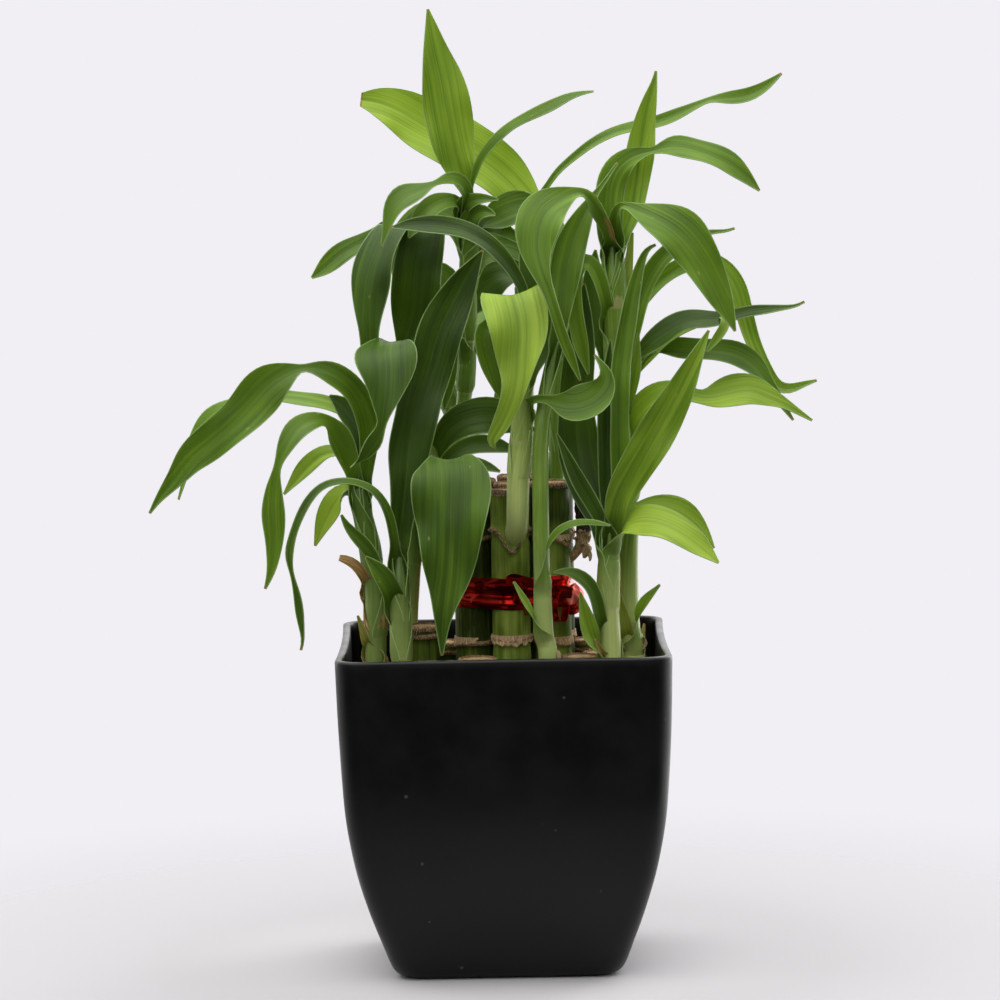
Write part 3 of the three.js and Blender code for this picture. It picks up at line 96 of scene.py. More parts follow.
# Each shoot: its name, how pale its stem is from 0 to 1, the stem's path and the leaves. Each leaf: its name,
# its tone from 0, dark blue green, to 1, fresh yellow green, or None for one drawn at random, the vectors
# that steer it from base to tip, and its path. A path point is [x, z, depth y, width], with the radius last
# for a stem. A steering vector points out of a blade's upper side, or along its width for STEERED_ACROSS.
# Besides each leaf's own colour, the tones hold painted light. Leaves in shade, such as Y, are given darker
# tones as painted shade, and sheened leaves, such as R, lighter tones as painted sheen.
SHOOTS = [
  ["shoot_left_outer", 0.15, [[-43, 62, -14, 3.4], [-42.8, 95, -14, 3.5], [-42.5, 120, -14, 3.5],
    [-43, 130, -14, 3.4], [-44, 140, -13.5, 3.2], [-46, 150, -13, 2.8], [-48, 160, -12, 2.5],
    [-50, 167, -11, 2]], [
    ["A", 0.42, [[0.3, -1, 0.2], [0, -1, 0.4], [0, -1, 0.3], [0, -1, 0.3]], [[-46, 154, -13, 3],
      [-44.5, 168, -15, 5], [-43.5, 179, -18, 7], [-46, 188.5, -20, 8], [-50, 194.5, -21.5, 8],
      [-56, 198.7, -22.5, 7.5], [-61.5, 200.2, -23, 4.5], [-65.8, 200.3, -23.5, 1.6], [-69, 199, -24, 7],
      [-76.5, 194.5, -25, 14.3], [-85.5, 185, -25, 13.6], [-96, 176.3, -24, 12.2], [-103, 170.8, -23, 9.8],
      [-108, 164.5, -22, 6.5], [-114, 157.5, -21.2, 2.6], [-117.3, 152.6, -21, 0.8]]],
    ["A3", 0.1, [[0.3, -1, 0.3], [0, -1, 0.4]], [[-46.5, 160, -12, 3], [-46, 170, -9, 4],
      [-47, 178, -6, 5.5], [-50, 184.5, -4, 7], [-53, 188.5, -3, 5.5], [-56.5, 191, -3, 0.9]]],
    ["A2", 0.6, [[0.3, -1, 0.2], [0, -0.6, 1], [-0.5, -0.8, 0.5]], [[-47, 158, -10, 3], [-46, 172, -6, 4],
      [-48, 183, -2, 5], [-57, 187.5, 2, 6.5], [-70, 190.3, 6, 7], [-85, 189, 8, 8], [-96, 183.5, 9, 8.5],
      [-102, 175, 9, 6], [-104.5, 166, 9, 2.5], [-107.5, 157, 9, 0.8]]],
    ["B", 0.5, [[0.4, -1, 0], [0, -1, 0.5], [-0.3, -1, 0.3], [0, -1, 0], [0, -1, 0]], [[-46, 150, -13, 3],
      [-48.5, 163, -15.5, 5], [-51.5, 172, -19, 7.5], [-54.5, 178.5, -22.5, 8], [-57.5, 182.7, -25, 3.5],
      [-62, 182.8, -28, 6.5], [-67, 180.3, -31, 8.5], [-71, 174.5, -33, 6], [-74.2, 167.5, -34, 2.2],
      [-75.6, 160, -34, 5.5], [-76, 152, -34, 7.8], [-75.8, 143, -34, 6], [-77, 133, -34, 3],
      [-79.3, 126.5, -34, 0.8]]],
    ["C", 0.85, [[0.3, -1, 0.6], [0, -1, 0.6]], [[-48.5, 160, -12, 2.5], [-49.5, 168, -8, 3.5],
      [-53, 171.6, -6, 4.5], [-57.5, 172, -5, 6], [-62, 169.5, -4, 6.3], [-66.5, 165.2, -3, 5],
      [-72.3, 158.2, -2, 0.8]]],
    ["D", 1.1, [[-0.3, -1, 0.5], [-0.2, -1, 0]], [[-47, 158, -12, 3], [-50, 159.5, -9, 6],
      [-54, 157, -6, 8.5], [-57.5, 151.5, -4, 7.5], [-60, 146.5, -3.5, 4.5], [-62.3, 140.7, -3, 0.8]]],
    ["F", 0.35, [[-0.5, -1, 0.4], [-0.3, -1, 0.4]], [[-41.8, 124, -16, 3], [-41.2, 132.5, -19, 4],
      [-43.5, 138, -20, 4.6], [-48, 143.3, -20, 4.2], [-51.5, 147.3, -20, 2.4], [-53.3, 151, -20, 0.8]]],
    ["dry_bract", 0.9, [[-0.6, -1, 0]], [[-44, 101, -15, 4], [-46, 110, -17, 3.5], [-48.5, 117, -18, 0.8]]],
    ["dry_curl", 0.6, [[-0.3, -1, 0.3], [0, -1, 0.5]], [[-43.8, 121, -14, 3], [-44.8, 127, -16, 3.5],
      [-46.5, 131, -18, 3.6], [-49.5, 134.7, -19, 3.4], [-52.3, 136, -19, 3.2], [-54.3, 136.5, -19, 2]]],
  ]],
  ["shoot_left_inner", 0.2, [[-34, 62, -26, 3.4], [-34, 100, -27, 3.5], [-34.2, 118, -27, 3.4],
    [-34.4, 130, -27, 3], [-34, 142, -26, 2.4]], [
    ["G", 0.45, [[0, -1, 0.3]], [[-34, 114, -28, 5], [-36, 122, -30.5, 6.5], [-38.7, 128.5, -32.5, 6.5],
      [-41.5, 132.3, -33.5, 5.5], [-45.5, 136.7, -34, 0.9]]],
    ["E", 0.27, [[0.6, -1, 0.3], [0, -0.7, 1], [-0.6, -1, 0], [0, -1, 0]], [[-34.2, 128, -28, 3.2],
      [-36, 142, -31, 3.6], [-37.8, 151, -33, 3.8], [-41.5, 158, -35, 3.4], [-47, 161.3, -36, 3],
      [-53, 162, -37, 3], [-59.5, 160.2, -37, 3.4], [-65, 154.3, -37, 3.6], [-69, 146, -37, 2.8],
      [-70.8, 138, -37, 3.2], [-70.1, 131.5, -37, 1.4], [-68.5, 125, -37, 2.8], [-67.8, 118.5, -37, 3.2],
      [-67.2, 112, -37, 1.6], [-66.9, 108.5, -37, 1], [-67.8, 105.6, -37, 0.8]]],
    ["H", 0.1, [[0.3, -1, 0]], [[-34, 138, -26, 4], [-33, 150, -25, 8], [-31.5, 162, -24, 12],
      [-30, 175, -22, 14.5], [-27, 188, -20, 15], [-23, 200, -17, 15.5], [-19.5, 212, -15, 15.5],
      [-14, 223, -12, 12], [-10, 230, -10, 8], [-4.5, 238.5, -8, 0.8]]],
  ]],
  ["shoot_left_back", 0.4, [[-34, 62, -3, 2.9], [-31.5, 112, -4.5, 2.9], [-30.5, 125, -6, 2.8],
    [-29.5, 135, -7, 2.6], [-28.5, 145, -8, 2.3], [-27, 153, -10, 2]], [
    ["K", 0.3, [[-1, 0, 0]], [[-28.5, 147, -9, 3], [-25, 156, -12, 4.5], [-20, 164, -18, 6],
      [-17.5, 168.5, -25, 10], [-16.8, 168.3, -31, 17], [-16.3, 163, -36, 25], [-16.8, 152, -39, 25],
      [-17, 145, -40, 22], [-18, 130, -40, 15], [-20, 116, -39.5, 6], [-20.6, 103, -39, 0.9]]],
  ]],
  ["shoot_left_tall", 0.4, [[-9, 141, -5, 3.2], [-15, 147, -2, 3.2], [-21, 160, 2, 3], [-26, 185, 5, 2.8],
    [-30, 215, 7, 2.6], [-33, 238, 7, 2.4], [-35.5, 248, 6, 2]], [
    ["X", 0.2, [[1, 0.3, 0.3], [-0.4, -0.7, 0.8], [-0.3, -1, 0.2], [-0.2, -1, 0]], [[-34, 236, 6, 4],
      [-32.5, 245, 2, 7], [-34, 247, -6, 11], [-37.5, 240, -12, 14], [-41, 231, -15, 15],
      [-42.3, 222, -16, 11.5], [-42.5, 212, -16, 7], [-42.3, 203, -15, 5.5], [-42.3, 193, -14, 0.8]]],
    ["Y", 0.15, [[0, 0.3, 1], [0, -0.8, 0.8], [0, -1, 0.1], [0, -1, 0]], [[-33, 238, 7, 4], [-28, 246, 4, 8],
      [-24, 246, -1, 13], [-24.8, 240, -4, 15], [-26.3, 232, -4, 16.5], [-27.3, 222, -3, 16],
      [-29.5, 212, -1, 10.5], [-33, 204, 0, 0.8]]],
    ["Z2", 0.4, [[0, -1, 0.6], [0, -1, 0.4]], [[-35.5, 247, 5, 3], [-38.5, 245.5, 4, 3.5], [-44, 242, 3, 6],
      [-51, 238.5, 2, 7.5], [-57, 233.5, 1, 5.5], [-61.5, 230.3, 1, 0.8]]],
    ["I", 0.25, [[-1, 0, 0], [-1, 0, 0], [-1, 0, 0], [-0.7, 0, -0.7]], [[-28.5, 196, 6, 3], [-32, 203, 0, 4],
      [-34.5, 207, -8, 5], [-35.5, 208.5, -16, 8], [-37, 207.5, -24, 14], [-37.5, 204.5, -30, 20],
      [-37.2, 200, -33, 20.5], [-37.5, 193.5, -35, 13.5], [-38.5, 186, -36, 6.5], [-39.2, 180.8, -36, 2.4],
      [-41.5, 176, -35.5, 5.5], [-45, 171.5, -35, 4.6], [-50, 166.8, -34, 0.8]]],
    ["N1", 0.15, [[0, -1, 0.2]], [[-22, 165, 2, 3], [-20, 174, 1, 6], [-14, 181, 0, 11],
      [-5, 183.5, 0, 12.5], [3, 182, 1, 10], [12, 178, 2, 0.8]]],
    ["N2", 0.2, [[0, -1, 0.4]], [[-21, 158, 1, 3], [-18, 168, -4, 5], [-11, 173, -6, 6], [-2, 173.5, -6, 6],
      [6, 171, -6, 0.8]]],
    ["N3", 0.3, [[0, -1, 0.6]], [[-19, 153, 0, 2.5], [-18, 162, -7, 4], [-12, 167, -9, 5],
      [-5, 166.5, -10, 4], [0, 164.5, -10, 0.8]]],
  ]],
  ["shoot_centre_back", 0.4, [[-8, 142, 9, 2.8], [-14, 146, 11, 2.8], [-17, 153, 12, 2.8],
    [-16, 168, 12, 2.7], [-12, 186, 11, 2.5], [-10, 208, 10, 2.3], [-9.5, 235, 8, 2.2], [-9, 254, 5, 2]], [
    ["AA", 0.75, [[0.2, -1, 0]], [[-9, 250, 5, 4], [-11, 262, 3, 8], [-13.5, 273, 2, 14],
      [-15.5, 285, 1, 16.5], [-17, 295, 1, 14], [-19, 305, 1, 8.5], [-21.2, 318.5, 1, 0.8]]],
    ["AD", 0.4, [[-0.7, -1, 0], [0, -0.8, 1], [0, -0.8, 1]], [[-8.5, 250, 4, 2.5], [-7, 262, 1, 2.8],
      [-4, 269.5, -1, 3], [1, 275.5, -2, 4], [6, 279.3, -3, 4.5], [12, 282, -3, 5], [18, 285, -3, 5],
      [24, 288, -3, 4.5], [29, 289.7, -3, 2.2], [33.2, 290.4, -3, 0.8]]],
    ["Z1", 0.45, [[0.5, -1, 0.2], [0, -0.8, 0.8], [0, -0.8, 0.8], [-0.3, -1, 0.3]], [[-9, 248, 4, 3],
      [-9.3, 256, 0, 5], [-11.5, 261, -4, 6.5], [-15.5, 261.7, -7, 6], [-20, 260.8, -10, 1.8],
      [-25, 258.6, -13, 7], [-30, 256.8, -15, 9.3], [-33.8, 253, -16.5, 6.5], [-35.8, 247.5, -17.5, 3.4],
      [-38, 240.5, -18, 0.8]]],
    ["AE1", 0.5, [[0, -1, 0.5], [0, -0.8, 0.8], [-0.3, -1, 0.3]], [[-9.3, 246, 6, 3], [-12, 254, 2, 5],
      [-17, 254.5, -4, 8], [-22, 252, -8, 8], [-26, 247.5, -10, 6], [-29, 243, -11, 0.8]]],
    ["AE2", 0.45, [[0, -1, 0.4]], [[-9.4, 244, 7, 3], [-11.5, 252, 2, 6], [-8, 255, 0, 5],
      [-3, 255.6, -1, 2.8], [1, 255.2, -1, 0.8]]],
    ["AE3", 0.35, [[0, -1, 0.4]], [[-9.5, 238, 8, 4], [-9, 246, 3, 8], [-6.5, 250.5, 0, 7],
      [-3, 251.3, -2, 4], [0, 250, -3, 0.8]]],
    ["AE4", 0.5, [[0, -1, 0.4]], [[-9.5, 236, 8, 3], [-4, 245, 6, 4], [1, 245.7, 5, 5], [5, 243.5, 4, 4],
      [9, 240, 4, 0.8]]],
    ["AF", 0.35, [[0, -1, 0.4]], [[-9.2, 243, 7, 3], [-3, 248, 5, 8], [3, 251, 3, 12], [9, 253, 2, 11],
      [17, 252, 1, 0.8]]],
    ["AE5", 0.4, [[0.3, -1, 0.4], [0, -1, 0.6], [-0.3, -1, 0.3]], [[-9.5, 236, 8, 4], [-13, 246, 13, 9],
      [-19, 250.5, 16, 12], [-26, 248, 18, 12], [-32, 240, 19, 8], [-35, 232, 19, 0.8]]],
    ["AE6", 0.35, [[-0.3, -1, 0.4], [0, -1, 0.5], [0.3, -1, 0.3]], [[-9.7, 226, 9, 4], [-5, 236, 12, 9],
      [0, 240, 13, 12], [6, 240, 14, 11], [12, 235, 15, 7], [17, 228, 15, 0.8]]],
    ["AE7", 0.45, [[0.3, -1, 0.4], [0, -1, 0.5], [-0.3, -1, 0.3]], [[-10, 212, 10, 4], [-14, 222, 13, 8],
      [-18, 229, 15, 10], [-22, 231, 17, 9], [-27, 228, 18, 5], [-31, 221, 18, 0.8]]],
    ["O", 0.4, [[0.5, 0.2, 1], [-0.2, -1, 0.5], [-0.2, -1, 0]], [[-10.3, 203, 10, 3], [-13, 210, 6, 4.5],
      [-15, 208, 3, 5.5], [-16, 200, 1, 5.5], [-17, 192, 1, 4], [-18.3, 185.5, 1, 0.8]]],
  ]],
  ["shoot_back_centre", 0.4, [[5.5, 142, 15, 2.9], [7, 146, 21, 2.9], [8, 155, 24, 2.9], [9, 180, 25, 2.7],
    [9, 215, 25, 2.5], [8, 240, 24, 2.3], [8, 251, 23, 2]], [
    ["AB", 0.95, [[-0.2, -1, 0.5], [0, -1, 0.3], [0, -1, 0.2]], [[8, 240, 24, 4], [11, 252, 22, 9],
      [5, 261, 22, 15], [-3, 268, 22, 18], [-12, 274, 22, 19], [-22, 279.5, 22, 18.5], [-31, 285, 22, 15],
      [-38, 288, 22, 10], [-44, 289, 22, 4.5]]],
    ["AG", 0.3, [[0, -1, 0.6], [0, -1, 0.3]], [[8.3, 228, 25, 4], [4, 231, 21, 14], [-3, 229, 20, 16],
      [-10, 222, 19, 13], [-16, 215, 18, 5], [-20, 209, 18, 0.8]]],
    ["AI", 0.5, [[-0.3, -1, 1], [0, -1, 1], [0, -1, 0.7], [0, -1, 0.4]], [[8.3, 244, 24, 3],
      [13, 253, 17, 3], [18, 260, 11, 3], [21, 264, 9, 3], [27, 269, 8, 3.2], [33, 273.5, 7, 3.5],
      [40, 276.8, 7, 4.5], [47, 278.3, 7, 5], [54, 279.7, 7, 4.5], [60, 281.8, 7, 4.5], [67, 285, 7, 3],
      [71.5, 287, 7, 2], [77, 287.3, 7, 4.5], [84, 288, 7, 5], [90, 291, 7, 3.5], [95.5, 295.3, 7, 0.8]]],
  ]],
  ["shoot_centre_front", 0.75, [[4, 141, -17, 3.6], [5.3, 146, -22, 3.7], [5.6, 152, -24.5, 3.7],
    [6, 162, -25, 3.7], [6.9, 172, -25, 3.5], [7.5, 182, -25, 3], [7, 200, -25, 2.6], [6.2, 210, -25, 2.2]], [
    ["R", 0.84, [[-1, 0, 0], [-1, 0, 0], [-1, 0, 0], [-0.8, 0, 0.5]], [[6.5, 204, -25, 4],
      [5.5, 216, -26, 8], [4.5, 222.5, -30, 15], [4.7, 223.5, -34, 21], [6, 219, -38, 21.5],
      [7, 212, -40, 19.5], [6.3, 203, -41, 14], [5.5, 194, -42, 9], [3.5, 187, -42, 7], [0, 179.5, -41, 5.5],
      [-3.2, 174.5, -40, 3], [-1.5, 172.3, -39, 0.8]]],
    ["Q", 0.45, [[0, -1, 0.3], [0, -1, 0.3], [0, -1, 0]], [[6.8, 196, -26, 3], [2, 208, -28, 4],
      [-2, 213.5, -29, 6], [-4.5, 211, -30, 6.5], [-3.5, 204, -30, 7], [-1, 197, -30, 6.5],
      [1, 188, -29, 0.8]]],
    ["J", 0.1, [[-0.5, -1, 0], [0.5, -1, 0.7], [0, -1, 0.8], [0, -1, 0.5]], [[6.5, 206, -25, 3],
      [9, 216, -24, 4], [8.8, 224, -25, 4], [5, 231.5, -26, 5], [0, 238, -27, 6.5], [-6, 242.8, -28, 7.4],
      [-12, 245.4, -28, 7.4], [-20, 246.9, -28, 6.8], [-28, 247.2, -27, 4.8], [-34.5, 246.6, -27, 0.8]]],
    ["AX", 0.4, [[0, -1, 0.4]], [[7.4, 181, -25, 3], [10, 187.5, -29, 3], [14, 188.6, -33, 2.6],
      [18.5, 187.6, -36, 4], [23.3, 186.2, -38, 11], [29, 187.2, -39, 12.5], [33.8, 190.4, -39, 10.5],
      [36.2, 195.5, -38.5, 5], [34.5, 199.8, -38, 2], [32, 203, -37, 0.8]]],
    ["RB", 0.3, [[0, -1, 0.1]], [[6.8, 190, -24, 3], [11, 200, -20, 8], [14, 212, -17, 12],
      [14, 226, -15, 12], [12, 238, -14, 9], [10, 247, -14, 0.8]]],
  ]],
  ["shoot_centre_slender", 0.45, [[15, 62, -29, 2.7], [15, 101, -30, 2.8], [13.7, 110, -30, 2.8],
    [13.3, 130, -30, 2.7], [13.3, 150, -30, 2.7], [13.5, 170, -29, 2.6], [14.5, 182, -28, 2.5],
    [17, 196, -26, 2.2], [20.2, 208, -24, 2]], [
    ["V", 0.5, [[0, -1, 0.1]], [[19.5, 204, -24, 3], [21.2, 218, -23, 7], [22.7, 230, -21, 10],
      [25, 240, -19, 10.5], [29, 249, -17, 6.5], [32.5, 255.5, -15, 2.5], [36, 260, -14, 1.5],
      [40.7, 266.7, -13, 0.8]]],
    ["AY", 0.45, [[-0.7, -0.7, 0.5], [0, -0.6, 1], [0, -0.6, 1]], [[13.3, 124, -30, 2.5], [14, 132, -33, 3],
      [15.5, 138.5, -35, 3.5], [18, 142.7, -36, 4], [22, 145.5, -37, 4], [27, 146.7, -38, 4],
      [32, 146.5, -38, 3], [36.5, 145.7, -38, 0.8]]],
    ["AZ", 0.7, [[0.3, -1, 0.5]], [[13.6, 107, -30, 2.5], [11.5, 112.5, -33, 3], [8.5, 119, -34, 3.2],
      [3.8, 127.5, -35, 0.8]]],
  ]],
  ["shoot_right_front", 0.6, [[36.5, 62, -21, 3.4], [36, 102, -22, 3.5], [35.5, 120, -22, 3.4],
    [35.8, 132, -22, 3.2], [36.2, 144, -22, 2.6]], [
    ["BC", 0.95, [[-0.5, -1, 0.6], [0, -1, 0.6], [0.2, -1, 0.5]], [[36, 137, -22, 4], [40, 144, -25, 8],
      [46, 147, -28, 11], [54, 146, -31, 12], [62, 141.5, -33, 9.5], [68, 136.5, -34, 5.5],
      [72.5, 132.5, -35, 0.8]]],
    ["BD", 0.8, [[-0.3, -1, 0.6], [0, -1, 0.6]], [[36, 139, -21, 3], [43, 148, -18, 6], [52, 152, -17, 8],
      [60, 150, -17, 8.5], [66, 145, -17, 5.5], [71, 137.5, -18, 0.8]]],
    ["AR", 0.7, [[0.1, -1, 0.1]], [[36, 137, -22, 3.5], [37.5, 146, -24, 6], [40, 156, -28, 9.5],
      [46, 166.5, -30, 12], [53, 178, -31, 12.5], [59.5, 189, -32, 10], [65, 200, -33, 5.5],
      [70.2, 210.5, -33, 0.8]]],
    ["BE", 0.2, [[0.1, -1, 0.1]], [[36, 137, -22, 3], [34, 146, -25, 4], [30, 154, -27, 5],
      [25, 163, -28, 5], [19, 177, -28, 0.8]]],
    ["BF", 0.1, [[0.2, -1, 0.1], [0.1, -1, 0.1]], [[35.8, 135, -21, 4], [33, 146, -18, 8],
      [28.5, 160, -14, 13], [26, 172, -11, 14], [25.5, 184, -10, 12], [26, 194, -10, 11.5],
      [27, 205, -9, 10], [28, 216, -8, 7], [29, 227, -8, 0.8]]],
    ["BG", 0.1, [[0.1, -1, 0.1]], [[36, 141, -22, 3], [36, 155, -20, 6], [36, 170, -19, 7],
      [36, 185, -18, 6.5], [36.5, 197, -18, 4], [37.5, 208, -18, 0.8]]],
    ["AT", 0.45, [[0.2, -1, 0], [0.2, -1, 0.2]], [[36.3, 140, -22, 3], [39, 152, -25, 5],
      [40, 166, -26, 6.5], [40, 180, -26, 6.5], [40.5, 197, -25, 6.5], [43, 213, -23, 6],
      [45.8, 226, -22, 4.5], [48.5, 235, -21, 2.5], [50.5, 238.5, -21, 1.4], [53, 239.3, -21, 0.8]]],
    ["BA", 0.3, [[0.3, -1, 0.1], [0.2, -1, 0.4], [0, -0.8, 1]], [[35.5, 103, -23, 3], [33, 112, -26, 4.2],
      [31.8, 119, -28, 4.5], [29.5, 125.5, -29, 4.5], [25, 129.5, -30, 4.5], [21, 130.5, -30, 3],
      [17.2, 130.3, -30, 0.8]]],
    ["BB", 0.75, [[0.3, -1, 0.2]], [[35.5, 99, -23, 3], [31.5, 104, -27, 5], [28.5, 112, -29, 6],
      [26, 123.5, -30, 0.8]]],
    ["dry_blade", 0.8, [[0.3, -1, 0.2]], [[35.2, 98, -24, 3], [33, 103, -27, 2.5], [30.8, 107.5, -29, 0.8]]],
  ]],
  ["shoot_right_tall", 0.55, [[43.5, 62, -8, 3.3], [43, 101, -8, 3.5], [42.3, 115, -8, 3.4],
    [42.2, 130, -8, 3.3], [42.5, 140, -8, 3.2], [43, 152, -8, 3], [42, 170, -8, 3], [40, 190, -8, 3.6],
    [39.3, 215, -8, 4], [38.8, 232, -8, 3.6], [38.5, 243, -8, 2.6]], [
    ["W", 0.5, [[0.3, -1, 0], [0.2, -1, 0.5], [0, -0.9, 0.9], [0, -1, 0.6]], [[38.6, 236, -8, 5],
      [37.5, 248, -8, 9], [38, 258, -7.5, 10], [40.5, 264.5, -7, 9.5], [44.5, 268, -7, 7.5],
      [49, 269.6, -7.5, 4.5], [53, 270.3, -8.5, 2], [56.5, 271.3, -9.5, 5.5], [61, 271.6, -10, 9.3],
      [67, 270.2, -10, 10], [73, 268, -10, 9.8], [78.5, 264.9, -10, 8], [83, 261.2, -10, 5],
      [87.7, 256.6, -10, 0.8]]],
    ["AH", 0.75, [[0.1, -1, 0]], [[39.5, 236, -7, 4], [44, 247, -4, 6], [46, 256, -3, 8.5],
      [47.7, 267, -2, 9.5], [49.5, 278, -2, 8], [51.8, 288, -2, 4.5], [53.3, 293, -2, 2],
      [53.9, 296.8, -2, 0.8]]],
    ["AJ", 0.5, [[-0.5, -1, 0.2], [0, -1, 0.6], [0, -1, 0.5], [0.2, -1, 0.2]], [[39, 236, -9, 4],
      [39.6, 246, -12, 5], [40.8, 251.5, -15, 4], [42.5, 252.8, -17.5, 1.8], [47, 250.8, -20, 5.5],
      [53, 248.2, -23, 11.5], [60.5, 243.3, -25, 16.2], [66.7, 235.8, -26, 14.2], [71.3, 227.3, -26, 11],
      [75.2, 219, -26, 7], [77.6, 213.8, -26, 3.2], [79, 210, -26, 0.8]]],
    ["AU", 0.5, [[0.1, -1, 0.2], [0, -1, 0.5]], [[42, 194, -7, 3], [44, 206, -4, 5], [47, 220, -2, 6],
      [52, 231, -1, 6], [58, 237.5, 0, 5.5], [65, 241.5, 0, 3.5], [72, 243.3, 0, 1.6], [76, 243.2, 0, 1.2],
      [79.3, 244.3, 0, 0.8]]],
    ["AL", 0.7, [[-0.3, -1, 0.3], [0, -1, 0.4], [0.3, -1, 0.2], [0, -1, 0.4]], [[39.4, 205, -7, 3],
      [45, 216, 2, 4], [54, 227, 5, 5], [64, 233, 6, 6], [73, 232.5, 5, 6.5], [79, 226, 4, 6.5],
      [82, 216, 3, 6], [84.5, 207, 3, 5.5], [88, 199, 3, 4.5], [92, 192, 3, 4], [96.5, 190.3, 2, 3.5],
      [101, 191.8, 2, 2.2], [106, 193.2, 2, 0.8]]],
    ["AO", 0.2, [[-0.3, -1, 0.3], [0, -0.8, 1], [0, -0.9, 0.8], [0, -1, 0.2]], [[41, 188, -9, 3],
      [44, 198, -11, 4.5], [48.5, 204, -13, 6.5], [55, 209.2, -14, 8.5], [62, 213, -15, 10],
      [68, 214, -15, 9.5], [73.5, 214, -15, 6.5], [79, 215, -15, 5.2], [84, 216.2, -15, 4.6],
      [90, 217, -15, 3.2], [96, 217.7, -15, 1.8], [99.5, 218, -15, 1], [102.2, 219.5, -15, 0.8]]],
    ["AO2", 0.8, [[-0.3, -1, 0.3], [0, -0.8, 1], [0, -1, 0.5], [0, -1, 0]], [[41, 186, -8, 3],
      [46, 197, -6, 4], [54, 206, -5, 5], [63, 211, -6, 5], [70, 214, -9, 4.5], [75, 215.5, -14, 3.5],
      [76, 212.5, -18, 3], [73, 208, -19, 3], [69.3, 203.3, -19, 0.8]]],
    ["AP", 0.4, [[-0.3, -1, 0.3], [0, -1, 0.6], [0.2, -1, 0.4]], [[41, 184, -8, 3], [44.5, 196, -6, 4],
      [48.5, 202.5, -5, 3], [52.5, 204.6, -5, 2.5], [57, 204.9, -5, 6.5], [64, 204.3, -5, 8],
      [72, 203.6, -5, 8.5], [79, 202.4, -6, 8.3], [85, 198.7, -7, 7.5], [89, 193.5, -8, 5],
      [92.5, 188, -8, 3.4], [98, 180, -8, 0.8]]],
    ["AQ", 0.8, [[-0.3, -1, 0.3], [0, -1, 0.6], [0, -1, 0.4]], [[42, 166, -8, 3], [43.2, 177, -11, 6],
      [47.5, 184.5, -14, 9], [54, 189, -16.5, 9.5], [61, 190, -18, 7], [67, 188, -18, 4.5],
      [71.5, 188, -18, 9], [78, 189.6, -18, 12], [84, 190.4, -18, 10.8], [90, 188, -18, 7],
      [95.5, 185.3, -18, 3.5], [104.3, 179.8, -18, 0.8]]],
    ["BH", 0.7, [[-0.3, -1, 0.6]], [[42.5, 104, -9, 3], [44.5, 112, -13, 3.5], [47, 119, -14, 4],
      [52.8, 125.6, -14, 0.8]]],
    ["T", 0.5, [[-0.5, -1, -0.3], [0, -1, 0.7], [0, -1, 0.3], [0, -1, 0.1]], [[38.6, 234, -9, 3],
      [37.5, 243.5, -15, 4.2], [34, 250.5, -20, 4.6], [30.5, 256, -25, 4.2], [27.2, 257.2, -28, 3],
      [22.5, 255.3, -31.5, 8], [17, 252, -34.5, 15.5], [14, 246.5, -37, 15], [13, 239.5, -39, 11.5],
      [14.2, 232.5, -41, 7.2], [16.6, 225.5, -42, 4.2], [19, 218, -43, 3.6], [21.2, 210.5, -42, 3.6],
      [23.8, 203.5, -40, 3.4], [27.2, 194.5, -38, 0.8]]],
    ["AV", 0.6, [[0.3, -1, 0.2], [0, -1, 0.5], [-0.3, -1, 0.2], [0, -1, 0]], [[38, 210, -10, 3],
      [36.3, 219, -13, 4], [34.5, 227, -15, 5], [31.5, 233.5, -16, 5.5], [28, 234, -16, 6],
      [25.7, 229.5, -16, 6], [26, 222, -16, 5], [26.5, 214, -17, 5.5], [27.8, 206, -17, 5],
      [30, 196.5, -17, 0.8]]],
    ["AS", 0.7, [[0.1, -1, 0]], [[40, 176, -10, 3], [43, 187, -14, 3.5], [45.5, 198, -16, 4],
      [46.7, 210, -16, 0.8]]],
    ["SB", 0.2, [[0.2, -1, 0.1], [0, -1, 0.1]], [[39.5, 194, -6, 4], [36, 206, -3, 8], [33, 216, 0, 10],
      [32, 227, 2, 8], [33, 238, 3, 0.8]]],
    ["bract_high", 0.8, [[0.7, -1, 0], [0.5, -1, 0]], [[40.5, 212, -8, 4], [43, 228, -6, 4],
      [45, 243.5, -5, 1.5]]],
    ["bract_low", 0.9, [[-0.3, -1, 0]], [[43, 100, -10, 5], [41.5, 112, -12.5, 4], [39.5, 122.5, -13, 0.8]]],
    ["bract_spike", 0.9, [[0.5, -1, 0]], [[44, 99, -9, 5], [46, 106, -9, 3], [47.3, 112.5, -9, 0.8]]],
  ]],
  ["shoot_back_left", 0.4, [[-3, 99, 33, 2.9], [-6.5, 104, 38.5, 3], [-10, 114, 41, 3], [-11, 135, 42, 2.9],
    [-12, 165, 41, 2.7], [-16, 192, 39, 2.5], [-20, 211, 37, 2.1]], [
    ["b1", None, [[0.4, 0.3, 0.6], [0.2, -0.6, 0.6]], [[-18, 202, 38, 3], [-24, 216, 38, 9],
      [-30, 228, 40, 13], [-34, 237, 42, 8], [-36, 243, 43, 0.8]]],
    ["b2", None, [[1, 0, 0]], [[-15, 186, 39, 3], [-17, 200, 46, 8], [-18, 210, 54, 12], [-18, 211, 62, 12],
      [-18, 203, 68, 8], [-18, 192, 71, 0.8]]],
    ["b3", None, [[1, 0.3, 0.3], [0, 0.5, 1], [-0.3, 0.6, 0.6]], [[-12.3, 168, 40, 3], [-18, 184, 41, 8],
      [-24, 194, 44, 11], [-30, 199, 48, 9], [-35, 197, 52, 4], [-38, 191, 55, 0.8]]],
    ["b4", None, [[1, 0, 0]], [[-10.6, 122, 42, 3], [-7, 136, 48, 8], [-4, 145, 56, 11], [-3, 145, 64, 11],
      [-3, 136, 70, 8], [-4, 124, 73, 0.8]]],
